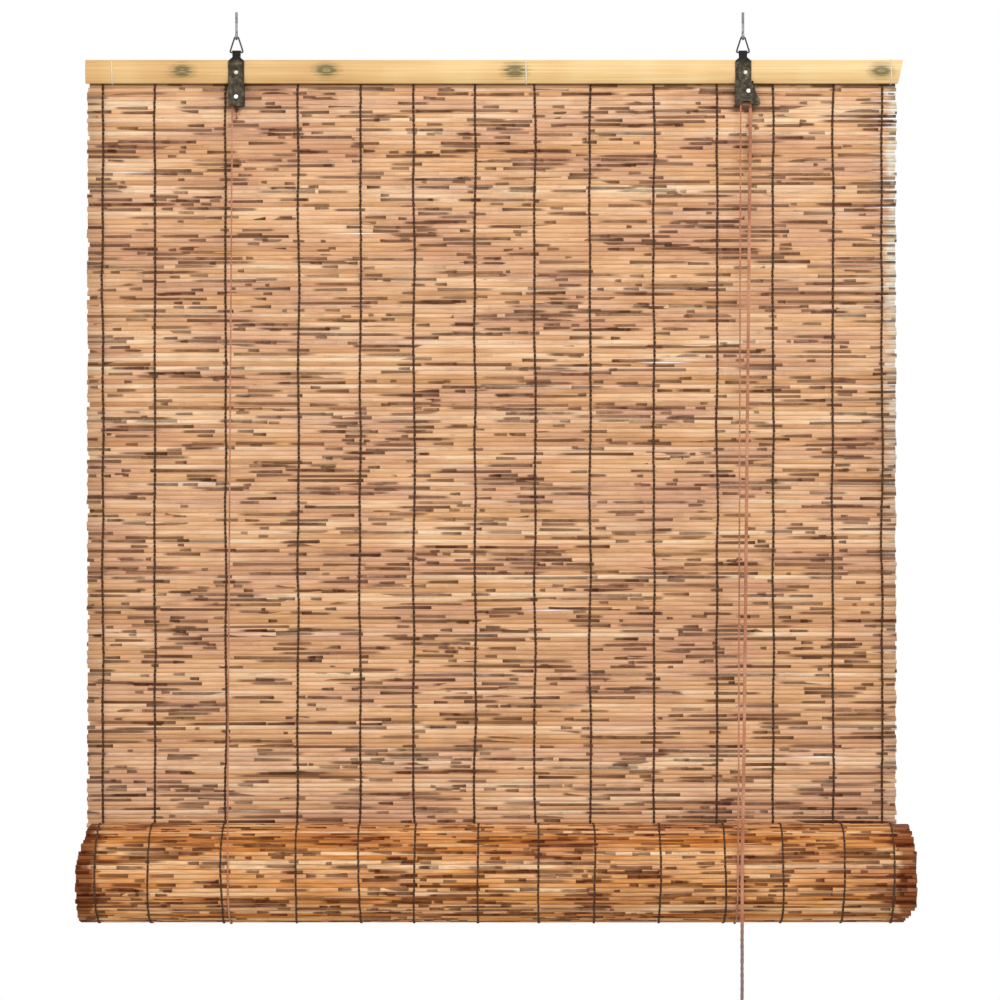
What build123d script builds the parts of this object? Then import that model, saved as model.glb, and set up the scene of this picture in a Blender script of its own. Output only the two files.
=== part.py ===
from build123d import *
import os
from math import acos, atan2, cos, degrees, exp, floor, pi, radians, sin, sqrt

# A reed roll up blind, half rolled up. The ceiling is the plane z = 0, x runs along the
# head, -y is the front, and the origin lies midway between the two screw hooks.

# Gaps and overruns shared by all pieces
overrun = 2.0
seat_gap = 0.1
running_gap = 0.3

# Screw hooks
hook_spacing = 627.0
hook_wire = 3.2
hook_shank = 17.0
hook_neck_radius = 3.0
hook_bowl_radius = 4.0
hook_tip_angle = 205

# Triangular hanging rings
ring_drop = 13.4
ring_wire = 2.0
ring_width = 16.6
ring_height = 19.4
ring_crown = 4.2
ring_crown_radius = 2.9
ring_corner_radius = 1.5

# Head battens of split bamboo
batten_drop = 9.5
batten_height = 28.6
batten_thick = 12.0
batten_crown_radius = 30.0
batten_left_overhang = 0.4
batten_right_overhang = 6.4
batten_end_skew = 6.2
groove_width = 20.6
groove_depth = 6.0
back_batten_height = 25.6
back_batten_thick = 6.5
back_batten_crown_radius = 26.0

# Ties round both battens
tie_width = 1.6
tie_thick = 0.7
tie_slot_gap = 0.4
tie_shares = (0.0323, 0.5422, 0.9915)

# Reed mat: the width runs along the head, the length from its top edge to the roll's axis
mat_width = 1005.0
mat_shift = 2.5
mat_length = 995.5
mat_thick = 5.0
mat_top_drop = 5.2
reed_pitch = 5.5
reed_web = 1.6
reed_crest_share = 0.4
comb_first_reed = 8
comb_gap = 2.0
comb_depth = 16.0
comb_depth_shares = (1.0, 0.84, 0.93)
edge_height_share = 0.8
edge_first_reed = 4
edge_reeds_apart = 12
edge_depth = 4.0
slit_gap = 1.2
slit_length = 46.0
slit_x_shares = (0.035, 0.34, 0.71, 0.12, 0.57, 0.9)
slit_z_shares = (0.13, 0.21, 0.37, 0.52, 0.68, 0.86)

# Warp threads that sew the reeds together
thread_width = 2.4
thread_thick = 0.7
thread_gap = 0.05
thread_shares = (
    0.0200, 0.0842, 0.1718, 0.2607, 0.3373, 0.4040, 0.4792,
    0.5533, 0.6212, 0.7002, 0.7780, 0.8472, 0.9212, 0.9817,
)

# Roll: the lower part of the mat, rolled forwards
roll_radius = 60.5
roll_core_radius = 24.9
roll_end_share = 0.37
turn_pitch = 7.0
turn_lap_share = 0.3
roll_shift = 3.2
roll_left_extra = 4.0
roll_right_extra = 9.0
roll_thread_angle = 246
roll_thread_facets = 20
bottom_batten_width = 30.0
bottom_batten_thick = 7.0
bottom_batten_edge = 1.5

# Folded strap brackets
strap_thick = 1.2
strap_width = 19.8
strap_fold_width = 11.0
strap_neck_width = 9.3
strap_neck_drop = 6.5
strap_shoulder_drop = 11.2
strap_bend_drop = 8.4
strap_tail = 28.7
strap_corner_radius = 2.0
lock_tail = 26.7
lock_flare = 12.5
lock_flare_drop = 2.5
lock_mouth_width = 10.5
lock_mouth_height = 4.0
lock_mouth_shift = 4.0
lock_wall_height = 17.0

# Pulley wheels, axles and rivets
wheel_pitch_radius = 5.3
wheel_rim_radius = 6.5
wheel_width = 3.6
wheel_gap = 0.1
wheel_pocket_gap = 0.8
axle_radius = 1.5
axle_gap = 0.05
axle_drop = 1.8
axle_hole_gap = 0.1
rivet_head_radius = 2.7
rivet_head_height = 1.3
rivet_head_round = 0.8
rivet_tail_radius = 2.2
rivet_tail_height = 0.6
cord_notch_depth = 9.6
lock_axle_shift = 2.6
lock_notch_extra = 3.0
spacer_drop = 17.4
spacer_radius = 3.0

# Lock cam
lock_pivot_shift = 6.2
lock_pivot_drop = 10.3
cam_reach = 4.4
cam_growth = 0.3
cam_tooth = 0.7
cam_teeth = 6
cam_lobe_low_angle = -62
cam_lobe_high_angle = 58
cam_hub_radius = 3.4
cam_tail_length = 11.0
cam_tail_width = 4.4
cam_tail_angle = 244

# Lift cords: one loop on each side, under the roll
cord_thick = 2.2
cord_clear = 0.4
left_sling_shift = -2.1
right_sling_shift = -14.0
back_run_turn_radius = 4.5
cord_slot_width = 4.2
cord_slot_rise = 1.6
cord_slot_fall = 3.4
left_tail_reed = 12
right_tail_reed = 8
right_tail_shift = -7.0
knot_radius = 2.6
knot_length = 5.0
knot_drop = 1.5
lock_exit_shift = 9.5
lock_exit_drop = 3.5
lock_bend_radius = 12.0

# Pull cord: both lift cords laid together, with the unseen length in a coil
pull_thick = 4.0
pull_shift = -9.0
pull_hang = 157.0
coil_mean_radius = 23.0
coil_radial = 12.0
coil_deep = 16.0
coil_chamfer = 4.0
coil_tie_width = 8.0
coil_tie_thick = 1.2
pull_knot_radius = 4.2
pull_knot_length = 9.0

# Places worked out from the sizes
hook_x = hook_spacing / 2
ring_top_z = -ring_drop
ring_base_z = ring_top_z - ring_height
batten_top_z = ring_base_z - batten_drop
batten_mid_z = batten_top_z - batten_height / 2
batten_bottom_z = batten_top_z - batten_height
batten_front_y = -batten_thick / 2
batten_back_y = batten_thick / 2
thread_room = thread_thick + 2 * thread_gap
mat_left = mat_shift - mat_width / 2
mat_right = mat_shift + mat_width / 2
mat_top_z = batten_top_z - mat_top_drop
mat_front_y = batten_back_y + thread_room
mat_back_y = mat_front_y + mat_thick
reed_count = round(mat_length / reed_pitch)
reed_step = mat_length / reed_count
reed_dip = (mat_thick - reed_web) / 2
roll_y = mat_back_y - roll_radius
roll_z = mat_top_z - mat_length
front_leg_y = batten_front_y - seat_gap
back_leg_y = batten_back_y - strap_thick
rear_wheel_y = back_leg_y - wheel_gap - wheel_width / 2
front_wheel_y = rear_wheel_y - wheel_gap - wheel_width
axle_z = batten_mid_z - axle_drop
run_top_z = axle_z - wheel_rim_radius - running_gap
spacer_z = batten_bottom_z - spacer_drop
lock_axle_x = hook_x + lock_axle_shift
lock_pivot_x = hook_x + lock_pivot_shift
lock_pivot_z = batten_bottom_z - lock_pivot_drop
cord_radius = cord_thick / 2
sling_radius = roll_radius + cord_clear + cord_radius
left_sling_x = left_sling_shift - hook_x
right_sling_x = right_sling_shift + hook_x
pull_x = pull_shift + hook_x
back_run_y = roll_y + sling_radius
pull_radius = pull_thick / 2
pull_bend_radius = roll_radius + cord_clear + pull_radius
lock_exit = (hook_x + lock_exit_shift, batten_bottom_z - lock_tail - lock_exit_drop)


def write(node, shape):
    """Write one piece to its own file."""
    shape.label = node
    export_step(shape, f"parts/{node}.step")


def side_face(*lines):
    """A face from lines drawn as (y, z)."""
    return Plane.YZ * make_face(Curve() + list(lines))


def along_x(face, start, end):
    """Extrude a side face from one x to another."""
    return extrude(Pos(start, 0, 0) * face, amount=end - start)


def front_plane(x, y, z):
    """A plane seen from the front: its own x and y run along x and z."""
    return Plane(origin=(x, y, z), x_dir=(1, 0, 0), z_dir=(0, -1, 0))


def through(sketch, front, back, x=0, z=0):
    """Extrude a sketch drawn as (x, z) from one depth to another."""
    return extrude(front_plane(x, back, z) * sketch, amount=back - front)


def rod(start, end, radius):
    """A round rod between two points."""
    span = Vector(*end) - Vector(*start)
    return extrude(Plane(origin=start, z_dir=span) * Circle(radius), amount=span.length)


def tube(path, radius):
    """A round tube along a path, with its volume compared with section times length."""
    shape = sweep(Plane(origin=path @ 0, z_dir=path % 0) * Circle(radius), path=path)
    ratio = shape.volume / (pi * radius**2 * path.length)
    print(f"tube {path.length:.1f} mm long, volume over section times length {ratio:.4f}")
    return shape


def on_roll(x, radius, turn):
    """A point round the roll's axis: turn 0 is behind it and grows upwards."""
    return Vector(x, roll_y + radius * cos(turn), roll_z + radius * sin(turn))


def leaving_turn(y, z, radius):
    """Where a straight cord from (y, z) touches a circle round the roll, on its front."""
    far = sqrt((y - roll_y) ** 2 + (z - roll_z) ** 2)
    return atan2(z - roll_z, y - roll_y) + acos(radius / far)


# Screw hooks


def screw_hook(x):
    """Straight shank, a small neck bend, then the bowl that the ring hangs in."""
    neck = acos(hook_neck_radius / (hook_neck_radius + hook_bowl_radius))
    bowl_bottom = ring_top_z - ring_wire / 2 - seat_gap - hook_wire / 2
    reach = hook_neck_radius + hook_bowl_radius
    neck_z = bowl_bottom + hook_bowl_radius + reach * sin(neck)
    shank = Line((0, hook_shank), (0, neck_z))
    bend = JernArc((0, neck_z), (0, -1), hook_neck_radius, degrees(neck))
    bowl = JernArc(bend @ 1, bend % 1, hook_bowl_radius, -degrees(neck) - hook_tip_angle)
    path = Plane.YZ.offset(x) * Wire([shank, bend, bowl])
    return tube(path, hook_wire / 2)


def hanging_ring(x):
    """A wire triangle with rounded corners; the bracket's fold holds its base."""
    base = ring_width / 2
    crown = ring_crown / 2
    corners = [
        (0, ring_base_z),
        (base, ring_base_z),
        (crown, ring_top_z),
        (-crown, ring_top_z),
        (-base, ring_base_z),
    ]
    radii = [0, ring_corner_radius, ring_crown_radius, ring_crown_radius, ring_corner_radius]
    path = front_plane(x, 0, 0) * FilletPolyline(*corners, radius=radii, close=True)
    section = Plane(origin=path @ 0, z_dir=path % 0) * Circle(ring_wire / 2)
    return sweep(section, path=path)


# Head battens and their ties


def crown_dip(radius, height):
    """How far an arc of this radius falls away over half of this height."""
    return radius - sqrt(radius**2 - (height / 2) ** 2)


front_edge_y = batten_front_y + crown_dip(batten_crown_radius, batten_height)
back_batten_y = mat_back_y + thread_room
back_batten_back_y = back_batten_y + back_batten_thick
back_edge_y = back_batten_back_y - crown_dip(back_batten_crown_radius, back_batten_height)
back_batten_top_z = batten_mid_z + back_batten_height / 2
back_batten_bottom_z = batten_mid_z - back_batten_height / 2


def wheel_pocket(x, extra):
    """Room for the wheels in the hollow back, and the way down for the cords."""
    radius = wheel_rim_radius + wheel_pocket_gap
    front = front_wheel_y - wheel_width / 2 - wheel_gap
    back = batten_back_y + overrun
    low = batten_bottom_z - overrun
    pocket = through(Circle(radius), front, back, x, axle_z)
    way = Rectangle(2 * radius + extra, axle_z - low, align=(Align.CENTER, Align.MIN))
    notch = through(way, batten_back_y - cord_notch_depth, back, x + extra / 2, low)
    return pocket + notch


def front_batten():
    """A strip of split bamboo: round in front, hollow behind."""
    top = batten_mid_z + groove_width / 2
    low = batten_mid_z - groove_width / 2
    section = side_face(
        ThreePointArc(
            (front_edge_y, batten_bottom_z),
            (batten_front_y, batten_mid_z),
            (front_edge_y, batten_top_z),
        ),
        Polyline(
            (front_edge_y, batten_top_z),
            (batten_back_y, batten_top_z),
            (batten_back_y, top),
        ),
        ThreePointArc(
            (batten_back_y, top),
            (batten_back_y - groove_depth, batten_mid_z),
            (batten_back_y, low),
        ),
        Polyline(
            (batten_back_y, low),
            (batten_back_y, batten_bottom_z),
            (front_edge_y, batten_bottom_z),
        ),
    )
    left = mat_left - batten_left_overhang
    right = mat_right + batten_right_overhang
    strip = along_x(section, left, right)
    wedge = Polyline(
        (right - batten_end_skew, batten_bottom_z),
        (right, batten_top_z),
        (right + overrun, batten_top_z),
        (right + overrun, batten_bottom_z),
        close=True,
    )
    cuts = [through(make_face(wedge), batten_front_y - overrun, batten_back_y + overrun)]
    rebate = Rectangle(strap_width + 2 * running_gap, batten_height + 2 * overrun)
    places = ((-hook_x, -hook_x, 0), (hook_x, lock_axle_x, lock_notch_extra))
    for bracket_x, axle_x, extra in places:
        rebate_back = batten_back_y + overrun
        cuts.append(through(rebate, back_leg_y, rebate_back, bracket_x, batten_mid_z))
        cuts.append(wheel_pocket(axle_x, extra))
        hole = Circle(axle_radius + axle_hole_gap)
        cuts.append(through(hole, batten_front_y - overrun, batten_back_y, axle_x, axle_z))
    return strip - cuts


def back_batten():
    """The plainer strip that clamps the mat from behind."""
    section = side_face(
        ThreePointArc(
            (back_edge_y, back_batten_bottom_z),
            (back_batten_back_y, batten_mid_z),
            (back_edge_y, back_batten_top_z),
        ),
        Polyline(
            (back_edge_y, back_batten_top_z),
            (back_batten_y, back_batten_top_z),
            (back_batten_y, back_batten_bottom_z),
            (back_edge_y, back_batten_bottom_z),
        ),
    )
    return along_x(section, mat_left, mat_right)


def batten_tie(share):
    """A flat string round both battens, through a slit in the mat."""
    hull = make_face(
        Curve()
        + [
            ThreePointArc(
                (front_edge_y, batten_bottom_z),
                (batten_front_y, batten_mid_z),
                (front_edge_y, batten_top_z),
            ),
            Polyline(
                (front_edge_y, batten_top_z),
                (back_batten_y, batten_top_z),
                (back_edge_y, back_batten_top_z),
            ),
            ThreePointArc(
                (back_edge_y, back_batten_top_z),
                (back_batten_back_y, batten_mid_z),
                (back_edge_y, back_batten_bottom_z),
            ),
            Polyline(
                (back_edge_y, back_batten_bottom_z),
                (back_batten_y, batten_bottom_z),
                (front_edge_y, batten_bottom_z),
            ),
        ]
    )
    loop = offset(hull, amount=seat_gap + tie_thick) - offset(hull, amount=seat_gap)
    centre = mat_left + share * mat_width
    return along_x(Plane.YZ * loop, centre - tie_width / 2, centre + tie_width / 2)


# Reed mat, its gaps and its warp threads


def mat_gap(x, z, width, height):
    """A gap right through the mat, from its middle and size."""
    return through(
        Rectangle(width, height), mat_front_y - overrun, mat_back_y + overrun, x, z
    )


def valley_z(reed):
    """The height of the valley above a reed, counted from the top."""
    return mat_top_z - reed * reed_step


def comb_gaps():
    """The loose reed tips on the right part in pairs, and a few reeds stop short on the left."""
    gaps = []
    for place, reed in enumerate(range(comb_first_reed, reed_count, 2)):
        depth = comb_depth * comb_depth_shares[place % len(comb_depth_shares)]
        x = mat_right - (depth - overrun) / 2
        gaps.append(mat_gap(x, valley_z(reed), depth + overrun, comb_gap))
    for place, reed in enumerate(range(edge_first_reed, reed_count, edge_reeds_apart)):
        depth = edge_depth * comb_depth_shares[place % len(comb_depth_shares)]
        x = mat_left + (depth - overrun) / 2
        z = valley_z(reed) - reed_step / 2
        gaps.append(mat_gap(x, z, depth + overrun, reed_step * edge_height_share))
    return gaps


def mat_slits():
    """A few places where light shows between two reeds, and the slits for the ties."""
    gaps = []
    for x_share, z_share in zip(slit_x_shares, slit_z_shares):
        z = valley_z(round(z_share * reed_count))
        gaps.append(mat_gap(mat_left + x_share * mat_width, z, slit_length, slit_gap))
    tie_z = batten_bottom_z - seat_gap - tie_thick / 2
    for share in tie_shares:
        width = tie_width + 2 * tie_slot_gap
        height = tie_thick + 2 * tie_slot_gap
        gaps.append(mat_gap(mat_left + share * mat_width, tie_z, width, height))
    return gaps


def cord_slots():
    """Where the tails of the lift cords pass through to the back."""
    height = cord_slot_rise + cord_slot_fall
    middle = (cord_slot_rise - cord_slot_fall) / 2
    tails = ((-hook_x, left_tail_reed), (hook_x + right_tail_shift, right_tail_reed))
    return [mat_gap(x, valley_z(n) + middle, cord_slot_width, height) for x, n in tails]


def reed_mat():
    """One wall with a ridge for each reed on both faces."""
    shoulder = reed_step * (1 - reed_crest_share) / 2
    front = []
    back = []
    for reed in range(reed_count):
        top = valley_z(reed)
        low = top - reed_step
        front += [(mat_front_y + reed_dip, top)]
        front += [(mat_front_y, top - shoulder), (mat_front_y, low + shoulder)]
        back += [(mat_back_y - reed_dip, top)]
        back += [(mat_back_y, top - shoulder), (mat_back_y, low + shoulder)]
    end_z = roll_z + running_gap
    front.append((mat_front_y + reed_dip, end_z))
    back.append((mat_back_y - reed_dip, end_z))
    section = side_face(Polyline(*front, *reversed(back), close=True))
    wall = along_x(section, mat_left, mat_right)
    return wall - (comb_gaps() + mat_slits() + cord_slots())


def mat_warp_threads():
    """Each thread goes over the top edge of the mat and down both faces."""
    end_z = roll_z + running_gap
    front = mat_front_y - thread_gap
    back = mat_back_y + thread_gap
    top = mat_top_z + thread_gap
    loop = side_face(
        Polyline(
            (front, end_z),
            (front, top),
            (back, top),
            (back, end_z),
            (back + thread_thick, end_z),
            (back + thread_thick, top + thread_thick),
            (front - thread_thick, top + thread_thick),
            (front - thread_thick, end_z),
            close=True,
        )
    )
    threads = []
    for share in thread_shares:
        left = mat_left + share * mat_width - thread_width / 2
        threads.append(along_x(loop, left, left + thread_width))
    return Compound(children=threads)


# Roll


def turn_radius(turn):
    """The roll's outer radius after so many radians: a round turn, then a lap inwards."""
    turns = turn / (2 * pi)
    done = floor(turns)
    lap = max(0, (turns - done - 1 + turn_lap_share) / turn_lap_share)
    return roll_radius - turn_pitch * (done + lap**2 * (3 - 2 * lap))


def reed_turns():
    """The turn at which each rolled reed starts, from the outer end inwards."""
    whole_turns = floor((roll_radius - mat_thick - roll_core_radius) / turn_pitch)
    last = 2 * pi * (whole_turns + roll_end_share)
    turns = [0]
    while turns[-1] < last:
        turns.append(turns[-1] + reed_step / (turn_radius(turns[-1]) - mat_thick / 2))
    return turns


def roll_point(turn, dip):
    """A point of the roll's section; it winds down behind, forwards and up in front."""
    radius = turn_radius(turn) - dip
    return (roll_y + radius * cos(turn), roll_z - radius * sin(turn))


def reed_roll():
    """The whole rolled length as one strip, with a ridge for each reed of the outer turn."""
    turns = reed_turns()
    outside = []
    inside = []
    for start, end in zip(turns, turns[1:]):
        inside.append(roll_point(start, mat_thick))
        if start > 2 * pi:
            outside.append(roll_point(start, 0))
            continue
        shoulder = (end - start) * (1 - reed_crest_share) / 2
        outside.append(roll_point(start, reed_dip))
        outside.append(roll_point(start + shoulder, 0))
        outside.append(roll_point(end - shoulder, 0))
    outside.append(roll_point(turns[-1], 0))
    inside.append(roll_point(turns[-1], mat_thick))
    section = side_face(Polyline(*outside, *reversed(inside), close=True))
    left = mat_left + roll_shift - roll_left_extra
    return along_x(section, left, mat_right + roll_shift + roll_right_extra)


def roll_warp_threads():
    """The same threads, round the outer turn of the roll."""
    half = radians(roll_thread_angle) / roll_thread_facets / 2
    inner = (roll_radius + thread_gap) / cos(half)
    outer = inner + thread_thick
    turns = [-2 * half * (place + 0.5) for place in range(roll_thread_facets + 1)]
    inside = [(on_roll(0, inner, turn).Y, on_roll(0, inner, turn).Z) for turn in turns]
    outside = [(on_roll(0, outer, turn).Y, on_roll(0, outer, turn).Z) for turn in turns]
    band = side_face(Polyline(*inside, *reversed(outside), close=True))
    threads = []
    for share in thread_shares:
        left = mat_left + roll_shift + share * mat_width - thread_width / 2
        threads.append(along_x(band, left, left + thread_width))
    return Compound(children=threads)


def bottom_batten():
    """The strip at the lower edge of the mat, lying in the core of the roll."""
    last_turn = reed_turns()[-1]
    core = turn_radius(last_turn) - mat_thick - running_gap
    low_z = roll_z - sqrt(core**2 - (bottom_batten_width / 2) ** 2)
    section = Plane.YZ * Pos(roll_y, low_z + bottom_batten_thick / 2) * RectangleRounded(
        bottom_batten_width, bottom_batten_thick, bottom_batten_edge
    )
    return along_x(section, mat_left + roll_shift, mat_right + roll_shift)


# Brackets


def strap_side(tail):
    """The strap from the side: up in front, round the ring's base and down behind."""
    low = batten_bottom_z - tail
    bend = ring_base_z - strap_bend_drop
    inner = ring_wire / 2 + running_gap
    outer = inner + strap_thick
    front_out = front_leg_y - strap_thick
    back_out = back_leg_y + strap_thick
    return side_face(
        Polyline((-outer, ring_base_z), (front_out, bend), (front_out, low)),
        Line((front_out, low), (front_leg_y, low)),
        Polyline((front_leg_y, low), (front_leg_y, bend), (-inner, ring_base_z)),
        ThreePointArc((-inner, ring_base_z), (0, ring_base_z + inner), (inner, ring_base_z)),
        Polyline((inner, ring_base_z), (back_leg_y, bend), (back_leg_y, low)),
        Line((back_leg_y, low), (back_out, low)),
        Polyline((back_out, low), (back_out, bend), (outer, ring_base_z)),
        ThreePointArc((outer, ring_base_z), (0, ring_base_z + outer), (-outer, ring_base_z)),
    )


def strap_outline(tail, flare, flare_drop):
    """The flat strap from the front, about its own middle line."""
    top = ring_base_z + strap_thick + ring_wire
    low = batten_bottom_z - tail
    half = strap_width / 2
    return make_face(
        Polyline(
            (-strap_fold_width / 2, top),
            (strap_fold_width / 2, top),
            (strap_neck_width / 2, ring_base_z - strap_neck_drop),
            (half, ring_base_z - strap_shoulder_drop),
            (half, batten_bottom_z + flare_drop),
            (half + flare, low),
            (-half, low),
            (-half, ring_base_z - strap_shoulder_drop),
            (-strap_neck_width / 2, ring_base_z - strap_neck_drop),
            close=True,
        )
    )


def folded_strap(x, tail, outline):
    """The folded strip, cut to its outline, with its lower corners rounded."""
    reach = strap_width + lock_flare
    strip = along_x(strap_side(tail), x - reach, x + reach)
    front = front_leg_y - strap_thick - overrun
    cut = through(outline, front, batten_back_y + overrun, x)
    strap = strip & cut
    corners = strap.edges().filter_by(Axis.Y).group_by(Axis.Z)[0]
    return fillet(corners, strap_corner_radius)


def strap_hole(x, z, radius):
    """A round hole through both legs."""
    return through(
        Circle(radius), front_leg_y - strap_thick - overrun, batten_back_y + overrun, x, z
    )


def pulley_bracket():
    """The left bracket, with a wheel behind the batten and a spacer below it."""
    outline = strap_outline(strap_tail, 0, lock_flare_drop)
    strap = folded_strap(-hook_x, strap_tail, outline)
    axle_hole = strap_hole(-hook_x, axle_z, axle_radius + axle_gap)
    return strap - axle_hole - strap_hole(-hook_x, spacer_z, axle_radius + axle_gap)


def lock_wall_x():
    """The wall that the cam presses the cords against."""
    return lock_pivot_x + cam_reach + running_gap + cord_thick + seat_gap


def lock_bracket():
    """The right bracket: a flared strap with a mouth for the cords and a pressed-in wall."""
    outline = strap_outline(lock_tail, lock_flare, lock_flare_drop)
    strap = folded_strap(hook_x, lock_tail, outline)
    low = batten_bottom_z - lock_tail
    mouth = Rectangle(lock_mouth_width, 2 * lock_mouth_height)
    cuts = [
        strap_hole(lock_axle_x, axle_z, axle_radius + axle_gap),
        strap_hole(lock_pivot_x, lock_pivot_z, axle_radius + axle_gap),
        through(
            mouth,
            front_leg_y - strap_thick - overrun,
            batten_back_y + overrun,
            hook_x + lock_mouth_shift,
            low,
        ),
        through(
            Circle(cord_radius + cord_clear),
            back_leg_y - overrun,
            batten_back_y + overrun,
            hook_x + right_tail_shift,
            valley_z(right_tail_reed),
        ),
    ]
    wall = through(
        Rectangle(strap_thick, lock_wall_height),
        front_leg_y,
        back_leg_y - running_gap,
        lock_wall_x() + strap_thick / 2,
        lock_pivot_z,
    )
    return strap - cuts + wall


# Wheels, axles, rivets and the lock cam


def pulley_wheel(x, y):
    """A small grooved wheel on its axle."""
    groove = cord_radius + running_gap
    blank = Rectangle(wheel_rim_radius, wheel_width, align=(Align.MIN, Align.CENTER))
    bore = Rectangle(axle_radius + axle_gap, wheel_width, align=(Align.MIN, Align.CENTER))
    slot = Pos(wheel_pitch_radius, 0) * Rectangle(
        wheel_rim_radius, 2 * groove, align=(Align.MIN, Align.CENTER)
    )
    outline = blank - bore - slot - Pos(wheel_pitch_radius, 0) * Circle(groove)
    plane = Plane(origin=(x, y, axle_z), x_dir=(1, 0, 0), z_dir=(0, 0, 1))
    return revolve(plane * outline, Axis((x, y, axle_z), (0, 1, 0)))


def rivet(x, z):
    """A round headed rivet through both legs of a bracket."""
    front = front_leg_y - strap_thick
    head = through(Circle(rivet_head_radius), front - rivet_head_height, front, x, z)
    head = fillet(head.edges().group_by(Axis.Y)[0], rivet_head_round)
    shaft = through(Circle(axle_radius), front, batten_back_y, x, z)
    tail_back = batten_back_y + rivet_tail_height
    return head + shaft + through(Circle(rivet_tail_radius), batten_back_y, tail_back, x, z)


def spacer_sleeve():
    """The sleeve that keeps the left bracket's legs apart."""
    ring = Circle(spacer_radius) - Circle(axle_radius + axle_gap)
    return through(ring, front_leg_y, back_leg_y, -hook_x, spacer_z)


def lock_cam():
    """A toothed lobe that grows downwards, with a weight that swings it shut."""
    step = radians(cam_lobe_high_angle - cam_lobe_low_angle) / cam_teeth
    points = [(0, 0)]
    for tooth in range(cam_teeth + 1):
        turn = radians(cam_lobe_low_angle) + tooth * step
        reach = cam_reach * exp(-cam_growth * turn)
        points.append(((reach - cam_tooth) * cos(turn), (reach - cam_tooth) * sin(turn)))
        if tooth < cam_teeth:
            turn += step / 2
            reach = cam_reach * exp(-cam_growth * turn)
            points.append((reach * cos(turn), reach * sin(turn)))
    lobe = make_face(Polyline(*points, close=True))
    tail = Rot(0, 0, cam_tail_angle) * SlotCenterPoint(
        (cam_tail_length / 2, 0), (cam_tail_length, 0), cam_tail_width
    )
    arm = Rot(0, 0, cam_tail_angle) * Pos(cam_tail_length / 2, 0) * Rectangle(
        cam_tail_length, cam_tail_width
    )
    hub = Circle(cam_hub_radius)
    lobe_front = front_wheel_y - cord_radius - running_gap
    tail_front = front_wheel_y + cord_radius
    back = back_leg_y - running_gap
    cam = through(hub + lobe, lobe_front, back, lock_pivot_x, lock_pivot_z)
    cam += through(hub, front_leg_y + running_gap, lobe_front, lock_pivot_x, lock_pivot_z)
    cam += through(arm + tail, tail_front, back, lock_pivot_x, lock_pivot_z)
    return cam - strap_hole(lock_pivot_x, lock_pivot_z, axle_radius + axle_gap)


# Lift cords


def wheel_arc(x, y, start, end):
    """The part of a cord that lies on a wheel, from one angle to another."""
    turns = [radians(angle) for angle in (start, (start + end) / 2, end)]
    radius = wheel_pitch_radius
    points = [(x + radius * cos(t), y, axle_z + radius * sin(t)) for t in turns]
    return ThreePointArc(*points)


def lock_leaving_angle():
    """Where the cords leave the right wheels on their way to the cam."""
    pinch_x = lock_wall_x() - seat_gap - cord_radius
    run_x = pinch_x - lock_axle_x
    run_z = lock_pivot_z - axle_z
    far = sqrt(run_x**2 + run_z**2)
    return degrees(atan2(run_z, run_x) + acos(wheel_pitch_radius / far))


def lock_run(start, y):
    """From the right wheel, past the cam and out at the bracket's mouth."""
    pinch = (lock_wall_x() - seat_gap - cord_radius, y, lock_pivot_z)
    end = (lock_exit[0], y, lock_exit[1])
    return FilletPolyline(start, pinch, end, radius=lock_bend_radius)


def run_top(wheel_x, wheel_y):
    """Where a cord comes clear of its wheel, on the way down to its sling."""
    return Vector(wheel_x - wheel_pitch_radius, wheel_y, run_top_z)


def left_lift_cord():
    """Over the left wheel, along the hollow batten, over the rear right wheel to the lock."""
    up = wheel_arc(-hook_x, rear_wheel_y, 180, 90)
    rise = Line(run_top(-hook_x, rear_wheel_y), up @ 0)
    down = wheel_arc(lock_axle_x, rear_wheel_y, 90, lock_leaving_angle())
    across = Line(up @ 1, down @ 0)
    run = lock_run(down @ 1, rear_wheel_y)
    return tube(Wire([rise, up, across, down] + list(run.edges())), cord_radius)


def right_lift_cord():
    """Over the front right wheel and down to the lock."""
    over = wheel_arc(lock_axle_x, front_wheel_y, 180, lock_leaving_angle())
    rise = Line(run_top(lock_axle_x, front_wheel_y), over @ 0)
    run = lock_run(over @ 1, front_wheel_y)
    return tube(Wire([rise, over] + list(run.edges())), cord_radius)


def front_run(wheel_x, wheel_y, sling_x):
    """The straight run from a sling up to a wheel, in front of the mat."""
    turn = leaving_turn(wheel_y, run_top_z, sling_radius)
    top = run_top(wheel_x, wheel_y)
    low = on_roll(sling_x, sling_radius, turn)
    run = (low - top).normalized() * running_gap
    return rod(tuple(top + run), tuple(low - run), cord_radius)


def sling(wheel_y, sling_x):
    """The part of a lift cord under the roll."""
    turn = leaving_turn(wheel_y, run_top_z, sling_radius)
    stops = (turn, 3 * pi / 2, 2 * pi)
    return tube(ThreePointArc(*[on_roll(sling_x, sling_radius, t) for t in stops]), cord_radius)


def back_run(points, sling_x):
    """From a tail through the mat and straight down behind it."""
    end = (sling_x, back_run_y, roll_z + running_gap)
    corners = len(points) - 1
    path = FilletPolyline(*points, end, radius=[back_run_turn_radius] * corners)
    print("back run turns of radius", [back_run_turn_radius] * corners)
    return tube(path, cord_radius)


def left_back_run():
    """Tied to the spacer, it hangs to its knot and then goes through the mat."""
    y = (front_leg_y + back_leg_y) / 2
    z = valley_z(left_tail_reed)
    start = (-hook_x, y, spacer_z - spacer_radius - running_gap)
    points = [start, (-hook_x, y, z), (-hook_x, back_run_y, z)]
    return back_run(points, left_sling_x)


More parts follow.
